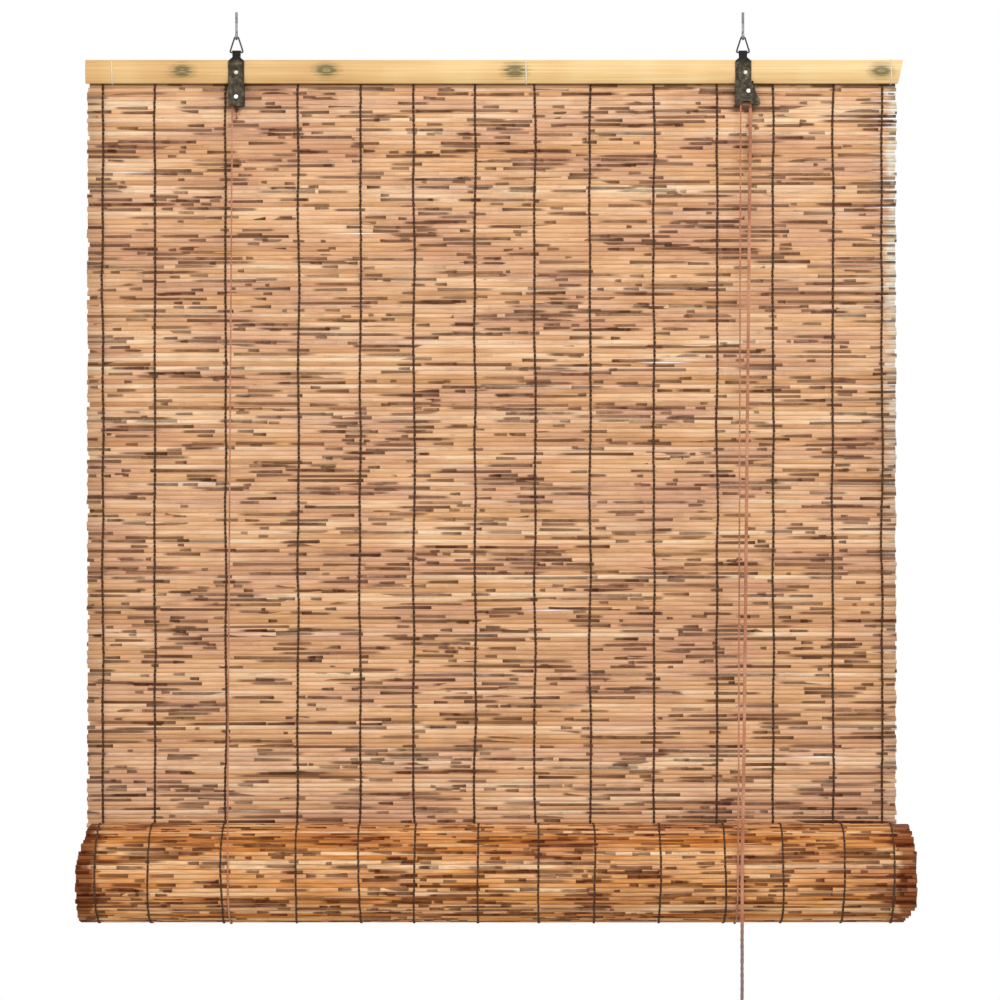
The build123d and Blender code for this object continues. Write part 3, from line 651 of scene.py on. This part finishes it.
# %% Streaks of the leaf sheaths
def sheath_streaks(tree, along, across, own, crowd, length_mm, share, reach, strength):
    """How dark the streaks of one length are: tapering along a stalk, ending short of its sides."""
    cells = add_node(
        tree, "ShaderNodeMath", {0: along, 1: 1000 / length_mm, 2: own}, operation="MULTIPLY_ADD"
    )[0]
    cell = add_node(tree, "ShaderNodeMath", {0: cells}, operation="FLOOR")[0]
    part = add_node(tree, "ShaderNodeMath", {0: cells}, operation="FRACT")[0]
    dice = []
    for throw in (length_mm, length_mm + 0.5):
        key = add_node(tree, "ShaderNodeCombineXYZ", {0: cell, 1: own, 2: throw})[0]
        spots = add_node(tree, "ShaderNodeTexWhiteNoise", {"Vector": key}, noise_dimensions="3D")
        dice += add_node(tree, "ShaderNodeSeparateColor", {0: spots["Color"]})[:]
    limit = add_node(
        tree, "ShaderNodeMath", {0: crowd, 1: -2 * share, 2: 1.0}, operation="MULTIPLY_ADD"
    )[0]
    chosen = add_node(tree, "ShaderNodeMath", {0: dice[0], 1: limit}, operation="GREATER_THAN")[0]
    turned = add_node(tree, "ShaderNodeMath", {0: dice[1], 1: 0.68}, operation="GREATER_THAN")[0]
    gone = add_node(tree, "ShaderNodeMath", {0: part, 1: turned}, operation="SUBTRACT")[0]
    gone = add_node(tree, "ShaderNodeMath", {0: gone}, operation="ABSOLUTE")[0]
    start = add_node(tree, "ShaderNodeMath", {0: dice[3], 1: 0.75}, operation="MULTIPLY")[0]
    rise = add_node(tree, "ShaderNodeMapRange", {0: gone, 1: start, 2: 1.0})[0]
    fade = add_node(tree, "ShaderNodeMapRange", {0: rise, 1: 0.0, 2: 0.16})[0]
    middle = add_node(
        tree, "ShaderNodeMath", {0: dice[2], 1: 0.9, 2: -0.45}, operation="MULTIPLY_ADD"
    )[0]
    off = add_node(tree, "ShaderNodeMath", {0: across, 1: middle}, operation="SUBTRACT")[0]
    off = add_node(tree, "ShaderNodeMath", {0: off}, operation="ABSOLUTE")[0]
    wide = add_node(tree, "ShaderNodeMapRange", {0: rise, 3: reach * 0.7, 4: reach})[0]
    core = add_node(tree, "ShaderNodeMath", {0: wide, 1: 0.72}, operation="MULTIPLY")[0]
    band = add_node(tree, "ShaderNodeMapRange", {0: off, 1: core, 2: wide, 3: 1.0, 4: 0.0})[0]
    blunt = add_node(
        tree, "ShaderNodeMapRange", {0: rise, 1: 0.7, 2: 1.0, 3: strength * 0.86, 4: strength}
    )[0]
    depth = add_node(tree, "ShaderNodeMapRange", {0: dice[4], 3: strength * 0.7, 4: blunt})[0]
    dark = add_node(tree, "ShaderNodeMath", {0: chosen, 1: fade}, operation="MULTIPLY")[0]
    dark = add_node(tree, "ShaderNodeMath", {0: dark, 1: band}, operation="MULTIPLY")[0]
    return add_node(tree, "ShaderNodeMath", {0: dark, 1: depth}, operation="MULTIPLY")[0]


# %% [markdown]
# Dried reed, stripped of its leaves: dull, straw to pinkish tan, no two stalks alike, with fine
# fibres along it. The free tips are bleached near the top of the mat. Painted shade darkens the
# sides of each stalk where it meets its neighbours, most on the roll, and a painted shadow line
# darkens the reeds just under the batten's lower edge.


# %% Reed finish
def reed_finish(name, straws, blush, sheath, layers, tip_mm, tips, tip_fade, wear, seam_shade):
    """Straw tones, a blush over some stalks, streaks, other tones past the tip places, painted
    shade where stalks meet, and a painted shadow line under the batten.
    """
    material, tree, surface = new_finish(name, 0.6)
    surface.inputs["Specular IOR Level"].default_value = 0.06
    place = add_node(tree, "ShaderNodeTexCoord")["Object"]
    axes = add_node(tree, "ShaderNodeSeparateXYZ", {0: place})
    along, high = axes[0], axes[2]
    seed = add_node(tree, "ShaderNodeAttribute", attribute_name="reed_seed")["Fac"]
    across = add_node(tree, "ShaderNodeAttribute", attribute_name="reed_across")["Fac"]
    own = add_node(tree, "ShaderNodeMath", {0: seed, 1: 913.0}, operation="MULTIPLY")[0]
    cloud_mm = 130
    far = add_node(tree, "ShaderNodeMath", {0: along, 1: 1000 / cloud_mm}, operation="MULTIPLY")[0]
    drift = add_node(tree, "ShaderNodeCombineXYZ", {0: far, 1: own})[0]
    cloud = add_node(
        tree, "ShaderNodeTexNoise", {"Vector": drift, "Scale": 1, "Detail": 2},
        noise_dimensions="2D",
    )[0]
    tone = add_node(tree, "ShaderNodeMix", {0: 0.62, 2: seed, 3: cloud}, data_type="FLOAT")[0]
    colour = add_node(tree, "ShaderNodeValToRGB", {0: tone}, stops=straws)[0]
    patch_mm = (170, 24, 24)
    patch = add_node(
        tree, "ShaderNodeMapping", {"Vector": place, "Scale": [1000 / size for size in patch_mm]}
    )[0]
    patch = add_node(tree, "ShaderNodeTexNoise", {"Vector": patch, "Scale": 1, "Detail": 2})[0]
    pink = add_node(tree, "ShaderNodeMapRange", {0: patch, 1: 0.42, 2: 0.68, 3: 0.0, 4: 0.75})[0]
    colour = add_node(
        tree, "ShaderNodeMix", {0: pink, 6: colour, 7: linear(blush)}, data_type="RGBA"
    )[2]
    tip_left, tip_right, ragged = tip_mm
    right = add_node(
        tree, "ShaderNodeMath", {0: along, 1: tip_right / 1000}, operation="SUBTRACT"
    )[0]
    left = add_node(tree, "ShaderNodeMath", {0: tip_left / 1000, 1: along}, operation="SUBTRACT")[0]
    past = add_node(tree, "ShaderNodeMath", {0: left, 1: right}, operation="MAXIMUM")[0]
    past = add_node(
        tree, "ShaderNodeMath", {0: seed, 1: -ragged / 1000, 2: past}, operation="MULTIPLY_ADD"
    )[0]
    most = add_node(
        tree, "ShaderNodeMapRange", {0: high, 1: tip_fade[0], 2: tip_fade[1], 3: 0.12, 4: 0.88}
    )[0]
    tip = add_node(tree, "ShaderNodeMapRange", {0: past, 1: 0.0, 2: 0.006, 4: most})[0]
    tip_tone = add_node(tree, "ShaderNodeValToRGB", {0: cloud}, stops=tips)[0]
    colour = add_node(tree, "ShaderNodeMix", {0: tip, 6: colour, 7: tip_tone}, data_type="RGBA")[2]
    for layer in layers:
        dark = sheath_streaks(tree, along, across, own, patch, *layer)
        colour = add_node(
            tree, "ShaderNodeMix", {0: dark, 6: colour, 7: linear(sheath)}, data_type="RGBA"
        )[2]
    # Painted shade: the sides of each stalk, where it meets its neighbours, are darkened towards
    # the streak colour, strongly on the roll and faintly on the mat.
    edge = add_node(tree, "ShaderNodeMath", {0: across}, operation="ABSOLUTE")[0]
    edge = add_node(tree, "ShaderNodeMapRange", {0: edge, 1: 0.66, 2: 0.92, 3: 0.0, 4: seam_shade})[0]
    colour = add_node(
        tree, "ShaderNodeMix", {0: edge, 6: colour, 7: linear(sheath)}, data_type="RGBA"
    )[2]
    fibre_mm = 30
    fine = add_node(tree, "ShaderNodeMath", {0: along, 1: 1000 / fibre_mm}, operation="MULTIPLY")[0]
    grain = add_node(
        tree, "ShaderNodeMath", {0: across, 1: 3.5, 2: own}, operation="MULTIPLY_ADD"
    )[0]
    grain = add_node(tree, "ShaderNodeCombineXYZ", {0: fine, 1: grain})[0]
    fibre = add_node(
        tree, "ShaderNodeTexNoise", {"Vector": grain, "Scale": 1, "Detail": 4},
        noise_dimensions="2D",
    )[0]
    wear_and_shade = add_node(
        tree, "ShaderNodeMapRange", {0: fibre, 1: 0.25, 2: 0.75, 3: 1 - wear, 4: 1 + wear * 0.75}
    )[0]
    wear_and_shade = add_node(tree, "ShaderNodeVectorMath", {0: colour, 1: wear_and_shade}, operation="MULTIPLY")[0]
    # Painted shadow: the reeds just under the batten's lower edge are darkened to a brown line.
    unshaded_z, batten_shadow_z = -0.0748, -0.0718
    batten_shadow = add_node(
        tree, "ShaderNodeMapRange", {0: high, 1: unshaded_z, 2: batten_shadow_z, 3: 0.0, 4: 0.8}
    )[0]
    wear_and_shade = add_node(
        tree, "ShaderNodeMix", {0: batten_shadow, 6: wear_and_shade, 7: linear("#5a3a14")}, data_type="RGBA"
    )[2]
    tree.links.new(wear_and_shade, surface.inputs["Base Color"])
    ridge = add_node(
        tree, "ShaderNodeBump", {"Height": fibre, "Strength": 0.35, "Distance": 0.0004}
    )[0]
    tree.links.new(ridge, surface.inputs["Normal"])
    return material


# %% [markdown]
# The mat shows the face that the light has bleached. The roll shows the other one, which is
# browner, with more streaks and dark ends.

# %% Both faces of the reeds
mat_finish = reed_finish(
    "dried_reed",
    [(0.25, "#d19b6c"), (0.42, "#e8b585"), (0.58, "#f4c69b"), (0.78, "#fddfba")],
    "#d8a384", "#431c0d",
    [(112, 0.44, 0.8, 0.96), (54, 0.25, 0.8, 0.98), (22, 0.1, 0.8, 1.0)],
    (-900, 486, 9), [(0.33, "#b39f84"), (0.42, "#eed8b2"), (0.58, "#fff6e2")],
    (-0.7, -0.3), 0.2, 0.08,
)
roll_finish = reed_finish(
    "dried_reed_outer_face",
    [(0.22, "#af632f"), (0.36, "#d88b45"), (0.5, "#ebaa6c"), (0.64, "#fac692"), (0.8, "#ffe3bc")],
    "#d28f60", "#471002",
    [(86, 0.56, 0.85, 0.96), (42, 0.34, 0.85, 0.98), (20, 0.14, 0.85, 0.98)],
    (-464, 480, 18), [(0.3, "#7c4020"), (0.5, "#9a542c"), (0.72, "#bd7a4c")],
    (-3, -2), 0.36, 0.4,
)
print("finishes", mat_finish.name, roll_finish.name)

# %% [markdown]
# In the mat the stalks lie one above the other. Past the last thread on the right nothing holds
# them, so their thin tips part in pairs, most of all near the top. At a few spots two stalks
# stand off and light shows.

# %% Reed mat
random.seed(41)
reed_step = 5.5
reed_count = 181
mat_top_z = -47.5
mat_mid_y = 9.3
mat_left, mat_right = -500.0, 505.0
tip_start = 488.5
slit_spots = [(-464.8, 24), (-158.3, 38), (213.6, 67), (-379.4, 94), (72.9, 123), (404.5, 156)]
slit_rise = 0.0009
tip_lean = 0.0005
tip_zone = 0.045
comb_reeds = 130
ragged_left, ragged_right, cut_short = 2.2, 2.6, 3.7
made = start_reeds()
for reed in range(reed_count):
    left = mat_left + ragged_left * random.random()
    right = mat_right - ragged_right * random.random()
    if reed % 12 == 4:
        left = mat_left + cut_short
    slits = [(x / 1000, slit_rise) for x, n in slit_spots if n == reed + 1]
    slits += [(x / 1000, -slit_rise) for x, n in slit_spots if n == reed]
    z = mat_top_z - (reed + 0.5) * reed_step
    verts = lay_reed(made, left, right, (mat_mid_y, z), 0, z, 12, 20, slits)
    apart = max(0.3, 1 - reed / comb_reeds)
    lean = tip_lean * apart if reed % 2 else -tip_lean * apart
    for vert in verts:
        from_tip = right / 1000 - vert.co.x
        if from_tip < 0.001:
            thin = 1 - apart * random.uniform(0.16, 0.26)
            vert.co.z = z / 1000 + (vert.co.z - z / 1000) * thin + lean
        elif from_tip < tip_zone:
            vert.co.x = tip_start / 1000
mat_reeds = finish_reeds("mat_reeds", made, mat_finish, "head", ["reed_mat"])
shorten(mat_reeds)

# %% [markdown]
# The roll is the same mat wound up: a round turn, then a lap inwards over the last third, so
# that each turn lies on the one before. Only the outer turn needs bent stalks. The inner
# ones show their cut ends at both sides, as a spiral. The mat slid a little sideways while it
# was wound, so both ends of the roll are slanted.

# %% Roll
roll_radius = 60.5
turn_drop = 7
lap_share = 0.3
mean_radius = 58
roll_turns = 4.37
outer_turns = 1.03
ragged_roll = 3
slant_left, slant_right, slant_below = 12, 4, 60


def turn_radius(turn):
    """The outer radius after so many radians of winding, in millimetres."""
    turns = turn / (2 * math.pi)
    done = math.floor(turns)
    lap = max(0, (turns - done - 0.7) / lap_share)
    return roll_radius - turn_drop * (done + lap ** 2 * (3 - 2 * lap))


random.seed(43)
made = start_reeds()
turn = 0.0
wound = []
while turn < 2 * math.pi * roll_turns:
    step = reed_step / (turn_radius(turn) - 2.5)
    middle = turn + step / 2
    radius = turn_radius(middle) - 2.6
    place = (roll_y + radius * math.cos(middle), roll_z - radius * math.sin(middle))
    outer = turn < 2 * math.pi * outer_turns
    sunk = (1 + math.sin(middle)) / 2
    left = mat_left - 0.8 + ragged_roll * random.random()
    left += slant_left * max(0, 1 - sunk / 0.4) ** 1.3
    right = mat_right + 12.2 - ragged_roll * random.random()
    right -= slant_right * max(0, 1 - sunk / 0.3) ** 1.3
    right -= slant_below * max(0, sunk - 0.8)
    detail = (12, 20) if outer else (6, 0)
    lay_reed(made, left, right, place, -middle, mean_radius * middle, *detail)
    wound.append(middle)
    turn += step
finish_reeds("roll_reeds", made, roll_finish, "roll", ["reed_roll"])
print(len(wound), "reeds in the roll")

# %% [markdown]
# ## Warp threads
# Two threads run down each row, one on each face, and are twisted between the reeds. On the
# face this shows as a dark beaded line. Two thin strands that change places at every reed
# give the beads; points between the reeds lie deeper than those on the crowns. The thread is
# waxed twine: matt and dark brown, paler where it is worn.

# %% Thread finish
thread_finish, tree, surface = new_finish("waxed_dark_twine", 0.85)
place = add_node(tree, "ShaderNodeTexCoord")["Object"]
twist_mm = 3
twist = add_node(
    tree, "ShaderNodeTexNoise", {"Vector": place, "Scale": 1000 / twist_mm, "Detail": 3}
)[0]
brown = add_node(
    tree, "ShaderNodeValToRGB", {0: twist},
    stops=[(0.35, "#341c0a"), (0.55, "#523218"), (0.75, "#7a5230")],
)[0]
tree.links.new(brown, surface.inputs["Base Color"])
nap = add_node(tree, "ShaderNodeBump", {"Height": twist, "Distance": 0.0003})[0]
tree.links.new(nap, surface.inputs["Normal"])
print("finish", thread_finish.name)

# %% Threads of the mat
random.seed(47)
row_shares = (
    0.0200, 0.0842, 0.1718, 0.2607, 0.3373, 0.4040, 0.4792,
    0.5533, 0.6212, 0.7002, 0.7780, 0.8472, 0.9212, 0.9817,
)
rows = [mat_left + share * (mat_right - mat_left) for share in row_shares]


def wander(row, run):
    """How far a row strays from straight, in millimetres."""
    return 2.7 * noise.noise((row * 3.1, run * 0.011, 5)) + random.uniform(-0.3, 0.3)


mat_lean = 0.9
front_crown, front_valley = 6.3, 7.4
back_crown, back_valley = 12.2, 11.0
front_lines = []
back_lines = []
for row, x in enumerate(rows):
    pair = [[], []]
    behind = []
    for reed in range(reed_count):
        z = mat_top_z - (reed + 0.5) * reed_step
        stray = wander(row, z)
        way = 1 if reed % 2 else -1
        for strand, lean in zip(pair, (mat_lean * way, -mat_lean * way)):
            strand.append(metres(x + stray + lean, front_crown + random.uniform(-0.1, 0.1), z))
            strand.append(metres(x + stray * 0.8, front_valley, z - reed_step / 2))
        behind.append(metres(x + stray, back_crown, z))
        behind.append(metres(x + stray * 0.8, back_valley, z - reed_step / 2))
    front_lines += pair
    back_lines.append(behind)
for name, lines, radius in (
    ("mat_threads_front", front_lines, 0.00112), ("mat_threads_back", back_lines, 0.001)
):
    threads = strand_mesh(name, lines, radius, 0, uneven=0.25)
    threads = place_piece(name, threads, thread_finish, "head", ["mat_warp_threads"])
    shorten(threads)
print(len(rows), "rows of thread on the mat")

# %% [markdown]
# The same rows go on round the roll, a little to the right, since the mat slid while it was
# wound. Only the outer turn is seen, so they go round once.

# %% Threads of the roll
random.seed(53)
roll_lean = 0.6
roll_shift = 3.2
threaded_reeds = 61
half_reed = 0.045
lines = []
for row, x in enumerate(rows):
    pair = [[], []]
    for reed, middle in enumerate(wound[:threaded_reeds]):
        stray = wander(row, mean_radius * middle) + roll_shift
        way = 1 if reed % 2 else -1
        for strand, lean in zip(pair, (roll_lean * way, -roll_lean * way)):
            for turn, lift, spread in ((middle, 0.4, 1), (middle + half_reed, -0.7, 0.2)):
                radius = turn_radius(turn) + lift
                strand.append(metres(
                    x + stray + lean * spread,
                    roll_y + radius * math.cos(turn),
                    roll_z - radius * math.sin(turn),
                ))
    lines += pair
threads = strand_mesh("roll_threads", lines, 0.00088, 0, uneven=0.25)
place_piece("roll_threads", threads, thread_finish, "roll", ["roll_warp_threads"])
print("roll_threads", len(threads.polygons), "faces")

# %% [markdown]
# ## Ties
# White string holds both battens together at three places. Each tie goes twice round, so a
# line of points round the two battens, a little apart along the head, is enough. Bleached
# cotton is matt and nearly white, and fine noise gives its ply.

# %% Ties
tie_finish, tree, surface = new_finish("bleached_cotton_string", 0.9)
place = add_node(tree, "ShaderNodeTexCoord")["Object"]
ply_mm = 1.2
ply = add_node(
    tree, "ShaderNodeTexNoise", {"Vector": place, "Scale": 1000 / ply_mm, "Detail": 2}
)[0]
white = add_node(
    tree, "ShaderNodeValToRGB", {0: ply}, stops=[(0.35, "#d8d0bf"), (0.6, "#f4efe4")]
)[0]
tree.links.new(white, surface.inputs["Base Color"])
nap = add_node(tree, "ShaderNodeBump", {"Height": ply, "Distance": 0.0002})[0]
tree.links.new(nap, surface.inputs["Normal"])

round_battens = [
    (-6.6, -56.6), (-6.2, -51), (-4.9, -45.8), (-2.8, -41.8), (4, -41.7), (12.6, -41.8),
    (16.2, -43.2), (18.4, -48), (19.5, -53), (19.7, -56.6), (19.5, -60.5), (18.4, -65),
    (16.2, -70), (12.6, -71.3), (4, -71.5), (-2.8, -71.4), (-4.9, -67.4), (-6.2, -62.2),
]
for name, x in (("left", -467.5), ("middle", 44.9), ("right", 496.5)):
    steps = 2 * len(round_battens)
    line = []
    for step in range(steps + 1):
        y, z = round_battens[step % len(round_battens)]
        line.append(metres(x - 0.5 + step / steps, y, z))
    string = strand_mesh(f"{name}_string", [line], 0.0005, 1)
    place_piece(f"{name}_string", string, tie_finish, "head", [f"batten_tie_{name}"])
    print(f"{name}_string", len(string.polygons), "faces")

# %% [markdown]
# ## Hook threads
# The shank of each hook is cut with a wood screw's thread. One triangle, spun round the shank
# and raised a little at each step, makes the whole helix. Zinc plating makes the wire a light
# grey metal with a soft spangle.

# %% Hook threads
hook_steel, tree, surface = new_finish("zinc_plated_wire", 0.38, 1.0)
place = add_node(tree, "ShaderNodeTexCoord")["Object"]
spangle_mm = 2.5
spangle = add_node(
    tree, "ShaderNodeTexNoise", {"Vector": place, "Scale": 1000 / spangle_mm, "Detail": 3}
)[0]
grey = add_node(
    tree, "ShaderNodeValToRGB", {0: spangle}, stops=[(0.3, "#747572"), (0.7, "#a2a39f")]
)[0]
tree.links.new(grey, surface.inputs["Base Color"])

thread_pitch = 0.0015
thread_turns = 8
spin_steps = 14
corners = [(1.45, 3.0), (1.98, 3.45), (1.45, 3.9)]
for side, x in (("left", -hook_x), ("right", hook_x)):
    helix = bmesh.new()
    profile = [helix.verts.new(metres(x + out, 0, z)) for out, z in corners]
    start = helix.faces.new(profile)
    bmesh.ops.spin(
        helix, geom=[*start.verts, *start.edges, start], cent=metres(x, 0, 0), axis=(0, 0, 1),
        dvec=(0, 0, thread_pitch / spin_steps), angle=2 * math.pi * thread_turns,
        steps=thread_turns * spin_steps,
    )
    bmesh.ops.recalc_face_normals(helix, faces=helix.faces)
    mesh = bpy.data.meshes.new(f"{side}_hook_thread")
    helix.to_mesh(mesh)
    helix.free()
    place_piece(f"{side}_hook_thread", mesh, hook_steel, "fixing")
    print(mesh.name, len(mesh.polygons), "faces")

# %% [markdown]
# ## Finishes of the rigid pieces
# The bamboo, steel and plastic pieces already have their true shape, so they only get their
# surfaces. The battens are split bamboo, planed and rubbed: pale yellow, with long fine grain,
# warmer towards the left, and an eye where each branch was cut off.

# %% Bamboo
bamboo, tree, surface = new_finish("planed_split_bamboo", 0.48)
place = add_node(tree, "ShaderNodeTexCoord")["Object"]
grain_mm = (160, 1.6)
stretch = add_node(
    tree, "ShaderNodeMapping",
    {"Vector": place, "Scale": (1000 / grain_mm[0], 1000 / grain_mm[1], 1000 / grain_mm[1])},
)[0]
grain = add_node(tree, "ShaderNodeTexNoise", {"Vector": stretch, "Scale": 1, "Detail": 5})[0]
patch_mm = 120
patch = add_node(
    tree, "ShaderNodeTexNoise", {"Vector": place, "Scale": 1000 / patch_mm, "Detail": 2}
)[0]
tone = add_node(tree, "ShaderNodeMix", {0: 0.55, 2: grain, 3: patch}, data_type="FLOAT")[0]
along = add_node(tree, "ShaderNodeSeparateXYZ", {0: place})[0]
paler_per_metre = 0.24
tone = add_node(
    tree, "ShaderNodeMath", {0: along, 1: paler_per_metre, 2: tone}, operation="MULTIPLY_ADD"
)[0]
colour = add_node(
    tree, "ShaderNodeValToRGB", {0: tone},
    stops=[(0.3, "#cf9f63"), (0.45, "#e3b677"), (0.58, "#efcb8d"), (0.72, "#f6dba3")],
)[0]
eye_mm = (21, 400, 13)
eye_y, eye_z = -5, -55.5
for eye_x in (-380.7, -202.0, 31.3, 484.1):
    near = add_node(
        tree, "ShaderNodeVectorMath",
        {0: place, 1: metres(eye_x, eye_y, eye_z)}, operation="SUBTRACT",
    )[0]
    near = add_node(
        tree, "ShaderNodeVectorMath", {0: near, 1: [1000 / size for size in eye_mm]},
        operation="MULTIPLY",
    )[0]
    far = add_node(tree, "ShaderNodeVectorMath", {0: near}, operation="LENGTH")["Value"]
    ragged = add_node(
        tree, "ShaderNodeMath", {0: grain, 1: 1.3, 2: far}, operation="MULTIPLY_ADD"
    )[0]
    mark = add_node(tree, "ShaderNodeMapRange", {0: ragged, 1: 1.0, 2: 1.6, 3: 0.92, 4: 0.0})[0]
    rings = add_node(tree, "ShaderNodeMath", {0: ragged, 1: 11.0}, operation="MULTIPLY")[0]
    rings = add_node(tree, "ShaderNodeMath", {0: rings}, operation="SINE")[0]
    bark = add_node(
        tree, "ShaderNodeValToRGB", {0: rings}, stops=[(0.0, "#5f5424"), (1.0, "#a08d4e")]
    )[0]
    colour = add_node(tree, "ShaderNodeMix", {0: mark, 6: colour, 7: bark}, data_type="RGBA")[2]
tree.links.new(colour, surface.inputs["Base Color"])
ridge = add_node(tree, "ShaderNodeBump", {"Height": grain, "Strength": 0.3, "Distance": 0.0004})[0]
tree.links.new(ridge, surface.inputs["Normal"])
print("finish", bamboo.name)

# %% [markdown]
# The brackets are bent from strip steel with a thin black enamel, scuffed by the cords and by
# handling, so that grey shows through on the flats. The fold at the top is kept black as painted
# shade.

# %% Black enamel
enamel, tree, surface = new_finish("scuffed_black_enamel", 0.55)
surface.inputs["Specular IOR Level"].default_value = 0.22
place = add_node(tree, "ShaderNodeTexCoord")["Object"]
scuff_mm = 7
scuff = add_node(
    tree, "ShaderNodeTexNoise",
    {"Vector": place, "Scale": 1000 / scuff_mm, "Detail": 5, "Roughness": 0.65},
)[0]
height = add_node(tree, "ShaderNodeSeparateXYZ", {0: place})[2]
# Painted shade: the scuffs are taken away towards the fold at the top, so it renders darker.
flat_z, fold_z = -0.047, -0.040
fold_shade = add_node(
    tree, "ShaderNodeMapRange", {0: height, 1: flat_z, 2: fold_z, 3: 0.0, 4: 0.34}
)[0]
wear_and_shade = add_node(tree, "ShaderNodeMath", {0: scuff, 1: fold_shade}, operation="SUBTRACT")[0]
colour = add_node(
    tree, "ShaderNodeValToRGB", {0: wear_and_shade},
    stops=[(0.28, "#120e08"), (0.44, "#332b1e"), (0.56, "#544a38"), (0.7, "#8d8066")],
)[0]
tree.links.new(colour, surface.inputs["Base Color"])
chips = add_node(tree, "ShaderNodeBump", {"Height": scuff, "Strength": 0.25, "Distance": 0.0003})[0]
tree.links.new(chips, surface.inputs["Normal"])
print("finish", enamel.name)

# %% [markdown]
# The small parts: bright rivets of drawn aluminium, duller turned axles, stamped steel, black
# wire and moulded nylon wheels. All have a fine tooling noise that moves their tone and
# roughness a little.


# %% Small parts
def small_finish(name, tones, roughness, metallic, noise_mm):
    """A plain surface with the fine unevenness that tools leave."""
    material, tree, surface = new_finish(name, roughness, metallic)
    place = add_node(tree, "ShaderNodeTexCoord")["Object"]
    marks = add_node(
        tree, "ShaderNodeTexNoise", {"Vector": place, "Scale": 1000 / noise_mm, "Detail": 4}
    )[0]
    colour = add_node(tree, "ShaderNodeValToRGB", {0: marks}, stops=tones)[0]
    tree.links.new(colour, surface.inputs["Base Color"])
    rough = add_node(
        tree, "ShaderNodeMapRange", {0: marks, 3: roughness - 0.12, 4: roughness + 0.12}
    )[0]
    tree.links.new(rough, surface.inputs["Roughness"])
    dents = add_node(
        tree, "ShaderNodeBump", {"Height": marks, "Strength": 0.15, "Distance": 0.0002}
    )[0]
    tree.links.new(dents, surface.inputs["Normal"])
    return material


rivet_metal = small_finish("drawn_aluminium", [(0.3, "#d9d8d4"), (0.7, "#f3f2ee")], 0.34, 1.0, 1.5)
ring_wire = small_finish(
    "black_enamelled_wire", [(0.3, "#121214"), (0.6, "#232326"), (0.75, "#4a4a4c")], 0.45, 0.0, 3
)
stamped = small_finish("stamped_steel", [(0.3, "#70706c"), (0.7, "#9a9a95")], 0.42, 1.0, 2)
nylon = small_finish("moulded_nylon", [(0.3, "#20201f"), (0.7, "#343432")], 0.5, 0.0, 2)
axle_steel = small_finish("turned_steel", [(0.3, "#a39f92"), (0.7, "#c9c4b5")], 0.45, 1.0, 1.5)
finishes = {
    bamboo: ["front_batten", "back_batten", "bottom_batten"],
    enamel: ["pulley_bracket", "lock_bracket"],
    axle_steel: ["pulley_axle_left", "pulley_axle_right"],
    rivet_metal: ["spacer_rivet", "lock_pivot"],
    hook_steel: ["screw_hook_left", "screw_hook_right"],
    ring_wire: ["hanging_ring_left", "hanging_ring_right"],
    stamped: ["spacer_sleeve", "lock_cam"],
    nylon: ["pulley_wheel_left", "pulley_wheel_rear", "pulley_wheel_front"],
}
for finish, nodes in finishes.items():
    for node in nodes:
        slots = bpy.data.objects[node].data.materials
        slots.clear()
        slots.append(finish)
print(sum(map(len, finishes.values())), "rigid pieces finished")
